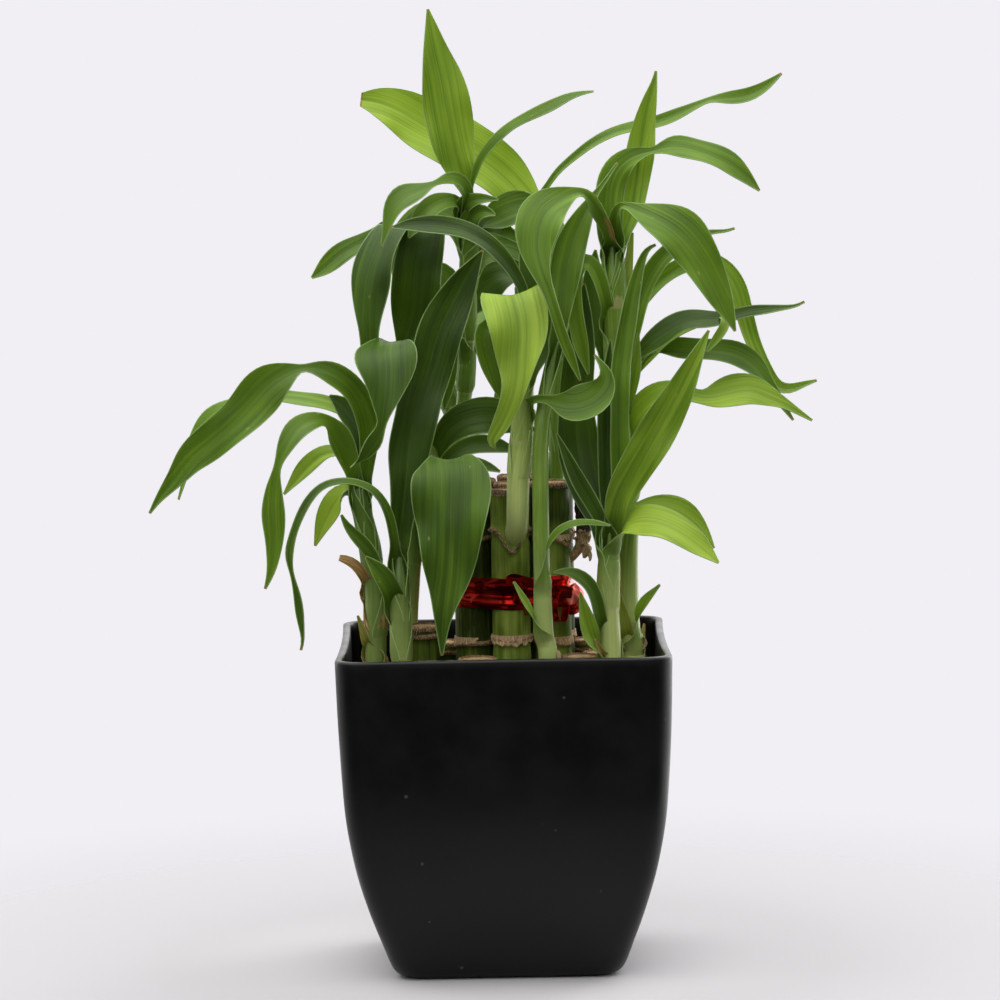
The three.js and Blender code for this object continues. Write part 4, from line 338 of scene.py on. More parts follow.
    ["b5", None, [[1, 0, 0]], [[-13.7, 178, 41, 3], [-13, 194, 46, 6], [-11, 207, 50, 9],
      [-8.5, 214, 56, 11], [-8, 218, 63, 8], [-9, 220, 69, 0.8]]],
  ]],
  ["shoot_back_right", 0.4, [[15.8, 99, 30, 2.9], [16.5, 104, 36, 3], [17, 114, 39, 3], [18, 135, 40, 2.9],
    [19, 165, 40, 2.7], [20, 200, 39, 2.5], [21, 233, 38, 2.1]], [
    ["c1", None, [[0.2, 1, 0.2]], [[20.7, 224, 38, 3], [19, 236, 39, 9], [17, 246, 42, 11], [16, 254, 45, 6],
      [16, 259, 47, 0.8]]],
    ["c2", None, [[-0.8, 0.3, 0.3], [0, 0.5, 1], [0.3, 0.6, 0.6]], [[20, 200, 39, 3], [26, 210, 40, 8],
      [33, 217, 43, 10], [39, 218, 47, 7], [43, 213, 51, 0.8]]],
    ["c3", None, [[1, 0, 0]], [[19.5, 184, 39, 3], [20, 202, 46, 9], [21, 212, 54, 13], [21, 213, 62, 13],
      [21, 204, 69, 9], [21, 190, 73, 0.8]]],
    ["c4", None, [[1, 0.3, 0.3], [0.3, 0.5, 1], [-0.2, 1, 0.4]], [[19, 158, 40, 3], [14, 174, 45, 8],
      [9, 186, 52, 12], [5, 191, 60, 12], [2, 187, 67, 8], [0, 178, 71, 0.8]]],
    ["c5", None, [[1, 0, 0]], [[18, 124, 40, 3], [16, 140, 47, 8], [14, 151, 55, 11], [13, 152, 64, 11],
      [13, 143, 71, 8], [13, 130, 75, 0.8]]],
  ]],
]
STEERED_ACROSS = {"K", "I", "R", "b2", "b4", "b5", "c3", "c5"}

# How dry and tan some of the small blades are
DRYNESS = {"dry_bract": 0.55, "dry_curl": 1.0, "dry_blade": 0.75, "bract_low": 0.35, "bract_spike": 0.85,
           "bract_high": 0.25}

# The stretch of a leaf's length, on its right-hand side, that is brown and torn
BROWN_PATCH = {"T": (0.08, 0.16)}


# Numbers, lines and angles

def mix(a, b, share):
    return a + (b - a) * share


def step(value, low, high):
    """0 below low, 1 above high, and a smooth rise between."""
    t = min(max((value - low) / (high - low), 0), 1)
    return t * t * (3 - 2 * t)


def hump(off, wide):
    """1 at 0, with a smooth fall to both sides."""
    return math.exp(-((off / wide) ** 2))


def placed(x, z, y):
    """A point of the front elevation, moved along its line of sight to the depth y."""
    reach = (y - EYE[1]) / -EYE[1]
    return Vector((x * reach, y, EYE[2] + (z - EYE[2]) * reach))


def circle(count):
    """Angles at even steps round a full turn."""
    return [2 * math.pi * k / count for k in range(count)]


def spun(turn, out, height, x=0, y=0):
    """The point at an angle and a distance from the upright line through x, y."""
    return Vector((x + out * math.cos(turn), y + out * math.sin(turn), height))


def from_front(turn, out, x=0):
    """The x and y of a place at a distance from x, 0, at an angle counted from the front."""
    return x + out * math.sin(turn), -out * math.cos(turn)


def square_to(vector, axis):
    """The part of a vector at right angles to an axis, made one long."""
    return (vector - axis * vector.dot(axis)).normalized()


def along(rows, t):
    """The Catmull-Rom curve through rows of numbers, at t from 0 to 1."""
    last = len(rows) - 1
    if last == 0:
        return rows[0]
    at = min(max(t, 0), 1) * last
    i = min(int(at), last - 1)
    u = at - i
    result = []
    for k, start in enumerate(rows[i]):
        end = rows[i + 1][k]
        before = rows[i - 1][k] if i > 0 else 2 * start - end
        after = rows[i + 2][k] if i + 2 <= last else 2 * end - start
        slope0 = (end - before) / 2
        slope1 = (after - start) / 2
        cubic = 2 * start - 2 * end + slope0 + slope1
        square = 3 * end - 3 * start - 2 * slope0 - slope1
        result.append(start + u * (slope0 + u * (square + u * cubic)))
    return result


def smoothed(values, rounds):
    """The list with each inner value drawn towards its neighbours."""
    for _ in range(rounds):
        inner = [(values[i - 1] + values[i] * 2 + values[i + 1]) / 4 for i in range(1, len(values) - 1)]
        values = [values[0], *inner, values[-1]]
    return values


def runs(points):
    """For each point of a line, the vector from the point before it to the one after it."""
    last = len(points) - 1
    return [points[min(i + 1, last)] - points[max(i - 1, 0)] for i in range(last + 1)]


def distances(points):
    """How far along a line each of its points lies."""
    reached = [0.0]
    for a, b in zip(points, points[1:]):
        reached.append(reached[-1] + (b - a).length)
    return reached


def even_places(reached, count):
    """Even places on a line with these distances, as (index of the point before, share of the way on)."""
    places = []
    i = 0
    for k in range(count + 1):
        wanted = reached[-1] * k / count
        while i < len(reached) - 2 and reached[i + 1] < wanted:
            i += 1
        places.append((i, (wanted - reached[i]) / max(reached[i + 1] - reached[i], 1e-9)))
    return places


def even_steps(rows, spacing):
    """The values of t at even distances along a path, and the path's length."""
    fine = 8 * (len(rows) - 1)
    reached = distances([placed(*along(rows, i / fine)[:3]) for i in range(fine + 1)])
    count = max(6, round(reached[-1] / spacing))
    return [min((i + share) / fine, 1) for i, share in even_places(reached, count)], reached[-1]


# Meshes

def ring_quads(count, size):
    """The quads that join rings of equal size."""
    quads = []
    for start in range(0, (count - 1) * size, size):
        for j in range(size):
            a, b = start + j, start + (j + 1) % size
            quads.append((a, b, b + size, a + size))
    return quads


def both_sides(columns):
    """The columns of a sheet's section over its upper side and back under it, as (under, column) pairs."""
    return [(0, u) for u in columns] + [(1, u) for u in reversed(columns)]


class Shape:
    """The points, faces and surface data of one piece, in millimetres."""

    FIELDS = ("place", "look", "side")

    def __init__(self):
        self.points = []
        self.faces = []
        self.data = {field: [] for field in self.FIELDS}

    def add(self, marked, faces):
        """marked holds each point with its (place, look, side) triples."""
        start = len(self.points)
        self.points += [point for point, _ in marked]
        self.faces += [[start + i for i in face] for face in faces]
        for k, field in enumerate(self.FIELDS):
            self.data[field] += [values[k] for _, values in marked]

    def add_tube(self, marked, size):
        """Rings of equal size, joined and closed at both ends."""
        ends = [tuple(reversed(range(size))), tuple(range(len(marked) - size, len(marked)))]
        self.add(marked, ring_quads(len(marked) // size, size) + ends)

    def add_sheet(self, rings):
        """A thin sheet: each ring runs over its upper side from edge to edge and back under it."""
        size = len(rings[0])
        faces = ring_quads(len(rings), size)
        for j in range(size // 2 - 1):
            cap = (j, j + 1, size - 2 - j, size - 1 - j)
            faces += [tuple(reversed(cap)), tuple((len(rings) - 1) * size + k for k in cap)]
        self.add([pair for ring in rings for pair in ring], faces)

    def piece(self, name, material, slot, nodes, sharp=None):
        """Makes the Blender object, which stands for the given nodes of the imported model."""
        mesh = bpy.data.meshes.new(name)
        mesh.from_pydata([point / MILLIMETRES for point in self.points], [], self.faces)
        for field, values in self.data.items():
            layer = mesh.attributes.new(field, "FLOAT_VECTOR", "POINT")
            layer.data.foreach_set("vector", [number for triple in values for number in triple])
        mesh.validate()
        mesh.polygons.foreach_set("use_smooth", [True] * len(mesh.polygons))
        if sharp is not None:
            mesh.set_sharp_from_angle(angle=math.radians(sharp))
        mesh.materials.append(material)
        made = bpy.data.objects.new(name, mesh)
        bpy.context.scene.collection.objects.link(made)
        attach(made, "root")
        if nodes:
            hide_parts(*nodes)


# Shoots

class Stem:
    """A stem's axis, radius and direction at each millimetre of its length."""

    def __init__(self, rows):
        steps, self.length = even_steps(rows, 1)
        values = [along(rows, t) for t in steps]
        self.points = [placed(*row[:3]) for row in values]
        self.radii = [row[3] for row in values]
        self.spacing = self.length / (len(steps) - 1)
        self.buried = STEM_BURIED if self.points[0].z < SOIL_TOP else 0

    def at(self, distance):
        """The point, radius and direction at a distance from the foot."""
        place = min(max(distance / self.spacing, 0), len(self.points) - 1.001)
        i = int(place)
        share = place - i
        ahead = self.points[min(i + 2, len(self.points) - 1)] - self.points[max(i - 2, 0)]
        point = self.points[i].lerp(self.points[i + 1], share)
        return point, mix(self.radii[i], self.radii[i + 1], share), ahead.normalized()

    def lowness(self, distance):
        """How near a place is to the soil, from 0 to 1."""
        return 1 - step(distance - self.buried, 0, 55)

    def tone(self, pale, distance):
        """How pale the stem is at a place: less so near its top."""
        return pale - 0.4 * (1 - step(self.length - distance, 2, 26))

    def nearest(self, point):
        """The distance from the foot of the axis point nearest to a point."""
        i = min(range(len(self.points)), key=lambda k: (self.points[k] - point).length_squared)
        return i * self.spacing


def cross_section(half, bend, fold, waves, keel):
    """A blade's outline across its width, over and back under, as (under, u, point) with u from -1 to 1."""
    middle = []
    for u in BLADE_COLUMNS:
        run = u * half
        turn = run * bend
        if abs(turn) < 1e-3:
            x, y = run, run * turn / 2
        else:
            x, y = math.sin(turn) / bend, (1 - math.cos(turn)) / bend
        middle.append(Vector((x, y + fold * half * abs(u) ** 1.5 + waves[0 if u < 0 else 1] * u * u)))
    upper, lower = [], []
    for u, point, run in zip(BLADE_COLUMNS, middle, runs(middle)):
        normal = Vector((-run.y, run.x)).normalized()
        depth = BLADE_THICK * (1 - 0.4 * u * u) / 2
        rib = hump(u * half, 0.7) * keel
        upper.append((0, u, point + normal * (depth - rib * 0.35)))
        lower.append((1, u, point - normal * (depth + rib)))
    return upper + lower[::-1]


def add_leaf(shape, leaf, stem, order, seed, pale):
    """A leaf: its sheath round the stem and the blade along its path. order puts lower sheaths outside."""
    rng = random.Random(seed)
    name, tone, steering, rows = leaf
    steps, length = even_steps(rows, RING_STEP)
    values = [along(rows, t) for t in steps]
    spine = smoothed([placed(*row[:3]) for row in values], 2)
    last = len(spine) - 1
    widths = smoothed([max(row[3], 0.5) for row in values], 2)
    ways = [run.normalized() for run in runs(spine)]
    sides = []
    for t, way in zip(steps, ways):
        steer = Vector(along(steering, t))
        sides.append(square_to(steer if name in STEERED_ACROSS else way.cross(steer), way))
    sides = [square_to(side, way) for side, way in zip(smoothed(sides, 4), ways)]
    uppers = [side.cross(way) for side, way in zip(sides, ways)]

    # Where the blade leaves the stem, and which way the sheath opens
    base = stem.nearest(spine[0])
    axis_point, radius, axis = stem.at(base)
    clear = 0.15 + 0.05 * order
    reach = radius + clear
    leave = 0.0
    for i, point in enumerate(spine):
        leave = length * i / last
        if (point - stem.at(stem.nearest(point))[0]).length > radius + 1.5:
            break
    leave = min(max(leave + 3, 6), 20, length * 0.5)
    probe = spine[min(round((leave + 5) / length * last), last)]
    outward = probe - axis_point
    outward -= axis * outward.dot(axis)
    turned = 0.0
    if outward.length > 1.5:
        inward = square_to(-outward, ways[0])
        turned = math.atan2(uppers[0].cross(inward).dot(ways[0]), uppers[0].dot(inward))
        if abs(turned) > 1.9:
            turned = 0.0
    shift = axis_point - spine[0]

    dry = DRYNESS.get(name, 0.0)
    patch = BROWN_PATCH.get(name, (1, 0))
    drawn_tone = 0.35 + 0.3 * rng.random()
    tone = drawn_tone if tone is None else tone
    phases = [rng.uniform(0, 6.28) for _ in range(4)]
    wavelengths = [rng.uniform(20, 34), rng.uniform(20, 34)]
    rings = []

    def put_ring(centre, way, upper, half, bend, fold, ripple, distance, v, sheath, width):
        keel = 0.16 * step(width, 3, 9) * (1 - sheath)
        place = base + distance
        color = mix(tone, stem.tone(pale, place), sheath)
        low = stem.lowness(place) * sheath
        across = way.cross(upper)
        waves = [ripple * math.sin(6.283 * distance / wavelengths[k] + phases[k]) for k in (0, 1)]
        ring = []
        for under, u, point in cross_section(half, bend, fold, waves, keel):
            brown = max(dry, 0.9 * step(u, -0.1, 0.4) * (patch[0] < v < patch[1]))
            ring.append((centre + across * point.x + upper * point.y,
                         ((u * half, distance, u), (color, v - low, brown), (under, sheath, seed % SEEDS))))
        rings.append(ring)

    # The sheath, from its foot up to the blade
    sheath_length = min(rng.uniform(*SHEATH_LENGTHS), max(base - 2, 0), length * 0.45)
    opening = Quaternion(ways[0], turned) @ uppers[0]
    if sheath_length > 3:
        count = max(3, round(sheath_length / 2.4))
        for k in range(count):
            share = k / count
            point, thick, way = stem.at(base - sheath_length * (1 - share))
            upper = square_to(opening, way)
            around = mix(2.85, 1.95, step(share, 0, 1))
            near = thick + (clear if k else 0.05)
            put_ring(point - upper * near, way, upper, near * around, 1 / near, 0, 0,
                     (share - 1) * sheath_length, 0, 1, 5)

    for i, (point, way, upper, width) in enumerate(zip(spine, ways, uppers, widths)):
        v = i / last
        distance = v * length
        wrap = 1 - step(distance, 0, leave)
        upper = Quaternion(way, turned * (1 - step(distance, 0, leave * 1.7))) @ upper
        half = mix(width / 2, reach * 1.95, wrap ** 1.6)
        half *= 1 + 0.025 * math.sin(distance / 4.3 + phases[2]) * step(width, 4, 9)
        fold = mix(0.34, 0.2, step(width, 3, 12)) * (1 - wrap)
        ripple = 0.075 * width * step(v, 0.08, 0.3) * step(1 - v, 0.02, 0.2)
        centre = point + shift * wrap - upper * (reach * wrap)
        put_ring(centre, way, upper, half, wrap / reach, fold, ripple, distance, v, wrap, width)
    shape.add_sheet(rings)
    return base - sheath_length


def add_stem(shape, stem, nodes, seed, pale):
    """A round stem with a slight ring at each node and rounded ends."""
    count = max(4, round(stem.length / 1.6))
    marked = []
    for i in range(count + 1):
        distance = stem.length * i / count
        point, radius, way = stem.at(distance)
        ring = max((hump(distance - node, 0.7) for node in nodes), default=0)
        first = square_to(Vector((1, 0, 0)), way)
        second = way.cross(first)
        end = min(distance, stem.length - distance)
        rounding = math.sqrt(max(1 - (1 - min(end / 2.5, 1)) ** 2, 0.02))
        rounding *= mix(0.25, 1, step(stem.length - distance, 1, 18))
        look = (stem.tone(pale, distance), -stem.lowness(distance), 0)
        for turn in circle(STEM_SIDES):
            grain = noise.noise(spun(turn, 1.3, distance * 0.03 + seed))
            wide = (radius * (1 + 0.03 * grain) + 0.22 * ring) * rounding
            marked.append((point + first * (wide * math.cos(turn)) + second * (wide * math.sin(turn)),
                           ((turn * radius, distance, turn / math.pi - 1), look, (ring, 1, seed % SEEDS))))
    shape.add_tube(marked, STEM_SIDES)


# Canes and their dry papers

def dipped(node, off):
    """The height of a scar at an angle off its dip, below a shoot. node is (height, dip, direction)."""
    return node[0] - node[1] * hump(off, 0.5)


def add_cane(shape, x, y, top, radius, nodes, seed, tone):
    """A cut cane with a swelling and a line of bark at each node."""
    def scar_height(node, turn):
        off = (turn - node[2] + math.pi) % (2 * math.pi) - math.pi
        return dipped(node, off) + 0.35 * noise.noise(Vector((turn * 2, node[0], seed)))

    heights = [CANE_FOOT, 70, 84]
    z = 88
    while z < top - 1.2:
        heights.append(z)
        z += 0.5 if any(node[0] - node[1] - 3 < z < node[0] + 2.5 for node in nodes) else 1.2
    heights += [top - 1.2, top - 0.8, top - 0.4]
    marked = []
    for z in heights:
        # Canes with tones under 0.4 are darker above z 146: painted shade under the leaves.
        shade = tone - 0.4 * step(z, 146, 151) * (tone < 0.4)
        under_top = top - z
        for turn in circle(CANE_SIDES):
            bark, swell = 0.0, 0.0
            for node in nodes:
                off = z - scar_height(node, turn)
                swell += 0.6 * hump(off, 0.9) - 0.25 * hump(off + 2.4, 1.3)
                bark = max(bark, hump(off, 0.85))
            bark = max(bark, 1 - step(under_top, 0.8, 2.4 + noise.noise(Vector((turn * 3, 5, seed)))))
            swell += 0.3 * hump(under_top - 1, 1)
            wide = radius + swell + 0.1 * noise.noise(spun(turn, 2.5, z * 0.01 + seed))
            marked.append((spun(turn, wide, z, x, y),
                           ((turn * radius, z, turn / math.pi - 1), (shade, bark, 0), (0, 0, seed))))
    rim = [(radius - 0.15, -0.05), (radius - 0.6, 0.0), (radius - 1.1, -0.35), (radius * 0.7, -0.7),
           (radius * 0.4, -0.9), (radius * 0.12, -0.6)]
    for wide, drop in rim:
        look = (tone, 1, step(radius - wide, 0.3, 0.9))
        for turn in circle(CANE_SIDES):
            rough = 0.3 * noise.noise(spun(turn, 3, wide + seed))
            marked.append((spun(turn, wide, top + drop + rough, x, y),
                           ((turn * radius, top, turn / math.pi - 1), look, (wide / radius, 0, seed))))
    shape.add_tube(marked, CANE_SIDES)


def add_skirt(shape, x, y, radius, top, length, start, end, seed, dry=1.0):
    """The papery remains of a leaf sheath: a thin ragged strip round part of a cane."""
    count = max(6, round(abs(end - start) * 26))
    rings = []
    for i in range(count + 1):
        turn = mix(start, end, i / count)
        ends = math.sqrt(max(math.sin(math.pi * min(max(i / count, 0.02), 0.98)), 0))
        ragged = 0.8 + 0.4 * noise.noise(Vector((turn * 4, seed, 1)))
        ragged += 0.25 * noise.noise(Vector((turn * 19, seed, 2)))
        long = length * ends * min(max(ragged, 0.15), 1.2)
        ring = []
        for under, share in both_sides((0, 0.5, 1)):
            flare = 0.25 + 0.5 * share * (0.6 + noise.noise(Vector((turn * 7, share, seed))))
            point = Vector((x, y, top - long * share)) + spun(turn, 1, 0) * (radius + flare - 0.2 * under)
            ring.append((point,
                         ((turn * radius, top - long * share, share), (0.5, 1, dry), (under, 0, seed))))
        rings.append(ring)
    shape.add_sheet(rings)


def crease(spot):
    """The height of flat facets that meet in sharp folds, as of crumpled foil, from -0.5 to 0.5."""
    heights = []
    for point in noise.voronoi(spot)[1]:
        slope = noise.cell_vector(point * 7.3) - Vector((0.5, 0.5, 0.5))
        away = spot - point
        heights.append(0.4 * slope.z + 1.3 * away.dot(slope) + 0.8 * away.length_squared)
    return min(max(min(heights), -0.5), 0.5)


def add_strip(shape, path, across, halves, seed, rough, thick=0.15, look=(0.5, 0, 0)):
    """A crumpled strip along a path of points, with its width along across."""
    columns = [k / 4 - 1 for k in range(9)]
    rings = []
    for i, (point, run, half) in enumerate(zip(path, runs(path), halves)):
        way = run.normalized()
        side = square_to(across, way)
        upper = side.cross(way)
        ring = []
        for under, u in both_sides(columns):
            lift = rough * crease(Vector((i * 0.14, u * half * 0.35, seed))) - thick * under
            ring.append((point + side * (u * half) + upper * lift,
                         ((u * half, i * 0.7, u), look, (under, 0, seed))))
        rings.append(ring)
    shape.add_sheet(rings)


def add_shred(shape, foot, out, long, wide, drop, dry, seed):
    """A small curled papery flake."""
    side = out.cross(Vector((0, 0, 1))).normalized()
    lean = random.Random(seed).uniform(-0.35, 0.35)
    path = []
    for k in range(SHRED_STEPS + 1):
        share = k / SHRED_STEPS
        curl = 0.2 * long * math.sin(share * 2.7)
        path.append(foot + out * curl + Vector((0, 0, -drop * long * share)) + side * (lean * long * share))
    halves = [wide / 2 * math.sin(math.pi * (k + 1.2) / (SHRED_STEPS + 2.4)) for k in range(SHRED_STEPS + 1)]
    add_strip(shape, path, side, halves, seed, 0.5, 0.12, (0.9, 1, dry))


def add_scar(shape, x, y, radius, node, seed):
    """The raised brown line a leaf left round a cane, dipping below the shoot."""
    path = []
    for k in range(SCAR_STEPS + 1):
        off = mix(-1.5, 1.5, k / SCAR_STEPS)
        z = dipped(node, off) + 0.35 * noise.noise(Vector((off * 4, seed, 0)))
        path.append(spun(node[2] + off, radius, z, x, y))
    halves = [0.3 + 0.22 * noise.noise(Vector((k * 0.7, seed, 1))) for k in range(SCAR_STEPS + 1)]
    add_strip(shape, path, Vector((0, 0, 1)), halves, seed, 0.35, 0.6, (0.9, 1, 0.45))


def add_scales(shape):
    """Small dry scales at the feet of the front stems."""
    # x, y and z of the foot, direction, length, width and dryness
    scales = [
        [17.2, -30.5, 102.5, -0.3, 5.8, 4.2, 1.0], [45.5, -9.5, 103, 0.2, 5.5, 3, 0.9],
        [42.5, -12, 105.6, -1.3, 4, 3.4, 0.7], [46, -10.5, 105.2, 0.4, 4.6, 3.2, 0.6],
        [39.5, -12, 104.6, -2.2, 3.6, 3, 0.8], [-40.6, -16, 99, -0.9, 5, 3.4, 0.9],
        [11.6, -29, 101, 3.4, 3.5, 3, 0.9],
    ]
    for seed, (x, y, z, facing, long, wide, dry) in enumerate(scales):
        add_shred(shape, Vector((x, y, z)), spun(facing, 1, 0), long, wide, -0.95, dry, 90 + seed)


def make_stub():
    """The withered side shoot: a dark broken stump with curled papery flakes."""
    shape = Shape()
    rows = [[21.5, 134, -5, 1.9], [24, 136.5, -6, 2], [26.4, 140, -7, 2.4], [27.4, 143.5, -7, 2.7],
            [27.5, 147, -7, 2.6], [27.3, 150, -7, 3], [26.8, 153.5, -7, 2.6], [26.2, 156, -7, 1.3]]
    marked = []
    for i in range(STUB_STEPS + 1):
        x, z, y, radius = along(rows, i / STUB_STEPS)
        dark = step(z, 142, 147)
        for turn in circle(STUB_SIDES):
            rough = noise.noise(spun(turn, 2, z * 0.25)) + 0.6 * noise.noise(spun(turn, 5, z * 0.8))
            marked.append((spun(turn, radius * (0.88 + 0.25 * rough), z, x, y),
                           ((turn * radius, z, turn), (1 - dark, 1, 1 - 0.95 * dark), (0, 0, 7))))
    shape.add_tube(marked, STUB_SIDES)
    rng = random.Random(14)
    for k in range(15):
        low = k >= 10
        z = rng.uniform(139, 141) if low else rng.uniform(139, 146)
        out = Vector((*from_front(rng.uniform(0.2, 1.2) if low else rng.uniform(-1.3, 1.5), 1), 0))
        drop = rng.uniform(0.95, 1.1) if low else rng.uniform(-0.4, 0.9)
        long = rng.uniform(3, 5) if low else rng.uniform(2.2, 3.8)
        foot = Vector((26.9, -7, z)) + out * 1.9
        add_shred(shape, foot, out, long, rng.uniform(1.8, 3), drop, rng.uniform(0.8, 1.1), 60 + k)
    return shape


# The ribbon

def add_blob(shape, centre, sizes, seed, rough, mark, turns, levels, tilt=None):
    """A rough lump: a ball of the given half sizes, dented by noise."""
    marked = []
    for i in range(levels + 1):
        polar = math.pi * (i + 0.35) / (levels + 0.7)
        for turn in circle(turns):
            way = spun(turn, math.sin(polar), -math.cos(polar))
            dent = 1 + rough * crease(way * 1.5 + Vector((seed, 0, 0)))
            point = Vector((way.x * sizes[0], way.y * sizes[1], way.z * sizes[2])) * dent
            if tilt is not None:
                point = tilt @ point
            marked.append((centre + point,
                           ((turn * sizes[0], polar * sizes[0], turn), mark, (0, 0, seed % SEEDS))))
    shape.add_tube(marked, turns)


def bundle_outline(offset, count):
    """The line round the outer tall canes, held off their axes by an offset, front first."""
    corners = []
    for k in range(6):
        middle = math.radians(k * 60 + BUNDLE_DEGREES)
        centre = Vector((*from_front(middle, TALL_RING, BUNDLE_X), 0))
        for i in range(9):
            bend = middle + math.radians(-30 + 60 * i / 8)
            corners.append(centre + Vector((*from_front(bend, 1), 0)) * offset)
    corners.append(corners[0])
    places = even_places(distances(corners), count - 1)
    return [corners[i].lerp(corners[i + 1], min(share, 1)) for i, share in places]


def make_ribbon():
    """Two creased strands round the bundle, the pleats, loop and tail at the front, and the crumpled knot."""
    shape = Shape()
    strands = [(6.8, 130.9, 123.9, 3), (7.1, 125.4, 120.7, 11)]
    for offset, top, bottom, seed in strands:
        line = bundle_outline(offset, RIBBON_STEPS)
        rings = []
        for i, (point, ahead) in enumerate(zip(line, runs(line))):
            turn = 2 * math.pi * i / (len(line) - 1)
            drift = spun(turn, 1, seed)
            out = Vector((ahead.y, -ahead.x, 0)).normalized()
            ring = []
            for under, share in both_sides([k / 12 for k in range(13)]):
                height = mix(top, bottom, share) + 0.6 * noise.noise(drift * 1.6)
                fold = 0.9 * crease(spun(turn, 1.4, height * 0.16 + seed))
                fold += 0.25 * math.sin(height * 1.6 + 4 * noise.noise(drift * 1.1))
                fold -= 0.45 * abs(2 * share - 1) ** 3
                ring.append((point + out * (max(fold, -0.4) - 0.12 * under) + Vector((0, 0, height)),
                             ((turn * 20, height, share), (0.5, 0, 0), (under, 0, seed))))
            rings.append(ring)
        shape.add_sheet(rings)
    # Each path of [x, z, y, width], with the direction of its width and how crumpled it is
    down, slant = Vector((0.2, 0.25, -1)), Vector((0.75, -0.65, 0.1))
    pleats = [
        ([[-9, 128.6, -22.6, 3], [-3, 129.4, -23.4, 4.5], [3, 128.6, -23.6, 4], [8, 127, -22.8, 3]],
         down, 0.7),
        ([[1.5, 130.9, -22.8, 2], [4, 131.3, -23.8, 3.4], [8, 130, -23.6, 3.6], [12, 128.6, -22.4, 2.5]],
         down, 0.9),
        ([[4, 124.2, -23, 2], [6.6, 122, -23.6, 2.2], [7.6, 119, -23.4, 1.4]], down, 0.5),
        ([[20.4, 127, -17, 3], [17.8, 125.8, -19, 3.4], [16.9, 121.5, -19.8, 3.4], [17.7, 117, -19.6, 3],
          [20, 116.8, -19.2, 3], [20.9, 121, -18, 3]], slant, 0.5),
        ([[12.5, 125.5, -21.6, 4], [16, 126.2, -20.8, 4.4], [20, 126, -18.8, 4.4], [23, 125.4, -17.2, 3.4]],
         down, 0.9),
        ([[20.5, 120.8, -17.6, 3], [23, 120, -18, 3.6], [25.4, 121, -15.8, 3.4], [26.2, 123.5, -13.4, 3.4]],
         down, 1.1),
    ]
    for seed, (rows, across, rough) in enumerate(pleats):
        values = [along(rows, i / 25) for i in range(26)]
        path = [Vector((x, y, z)) for x, z, y, _ in values]
        add_strip(shape, path, across, [width / 2 for *_, width in values], 31 + seed, rough)
    # The knot's look of 1 gives it the foil's painted highlight colour.
    add_blob(shape, Vector((23.8, -15.4, 123.4)), (3.1, 2.3, 4.4), 41, 0.45, (1, 0, 0), 40, 30)
    return shape


# The pot and the soil

def pot_half(z):
    """The pot's outer half width at a height."""
    for (z0, half0), (z1, half1) in zip(POT_PROFILE, POT_PROFILE[1:]):
        if z <= z1:
            return mix(half0, half1, (z - z0) / (z1 - z0))
    return POT_TOP_HALF


def rounded_square(half, corner, pinch, corner_steps, side_steps):
    """A level rounded square as (x, y) pairs, with its sides drawn in at their middles."""
    ring = []
    inner = half - corner
    for k in range(4):
        turn = k * math.pi / 2
        quarter = []
        for i in range(corner_steps + 1):
            bend = i / corner_steps * math.pi / 2
            quarter.append((inner + corner * math.cos(bend), inner + corner * math.sin(bend)))
        for i in range(1, side_steps):
            u = 1 - 2 * i / side_steps
            quarter.append((u * inner, half - pinch * (1 - u * u)))
        ring += [(x * math.cos(turn) - y * math.sin(turn), x * math.sin(turn) + y * math.cos(turn))
                 for x, y in quarter]
    return ring


def make_pot():
    """The pot: its outside, its lip and its inside down to the floor."""
    outside = [along(POT_PROFILE, i / POT_STEPS) for i in range(POT_STEPS + 1)]
    inside = [[z, pot_half(z) - POT_WALL] for z in (105, 101, 97, 93, 88, 80, 68, 53, 37, 23, 11.6, 6)]
    rows = outside + LIP + inside + [[POT_FLOOR, pot_half(POT_FLOOR) - POT_WALL - 2]]
    marked = []
    for i, (z, half) in enumerate(rows):
        inner = max(i - len(outside), 0)
        pinch = SIDE_PINCH * min(max((z - 70) / 38, 0), 1)
        ring = rounded_square(half, POT_CORNER - min(inner * 0.35, POT_WALL), pinch, 12, 18)
        for x, y in ring:
            wave = 0.14 * noise.noise(Vector((x * 0.02, y * 0.02, z * 0.018)))
            push = 1 + wave / half if 2 < z < 107 else 1
            marked.append((Vector((x * push, y * push, z)),
                           ((x, y, z), (0.5, z / POT_HEIGHT, 0), (1 if inner > len(LIP) else 0, 0, 0))))
    shape = Shape()
    shape.add_tube(marked, len(ring))
    return shape


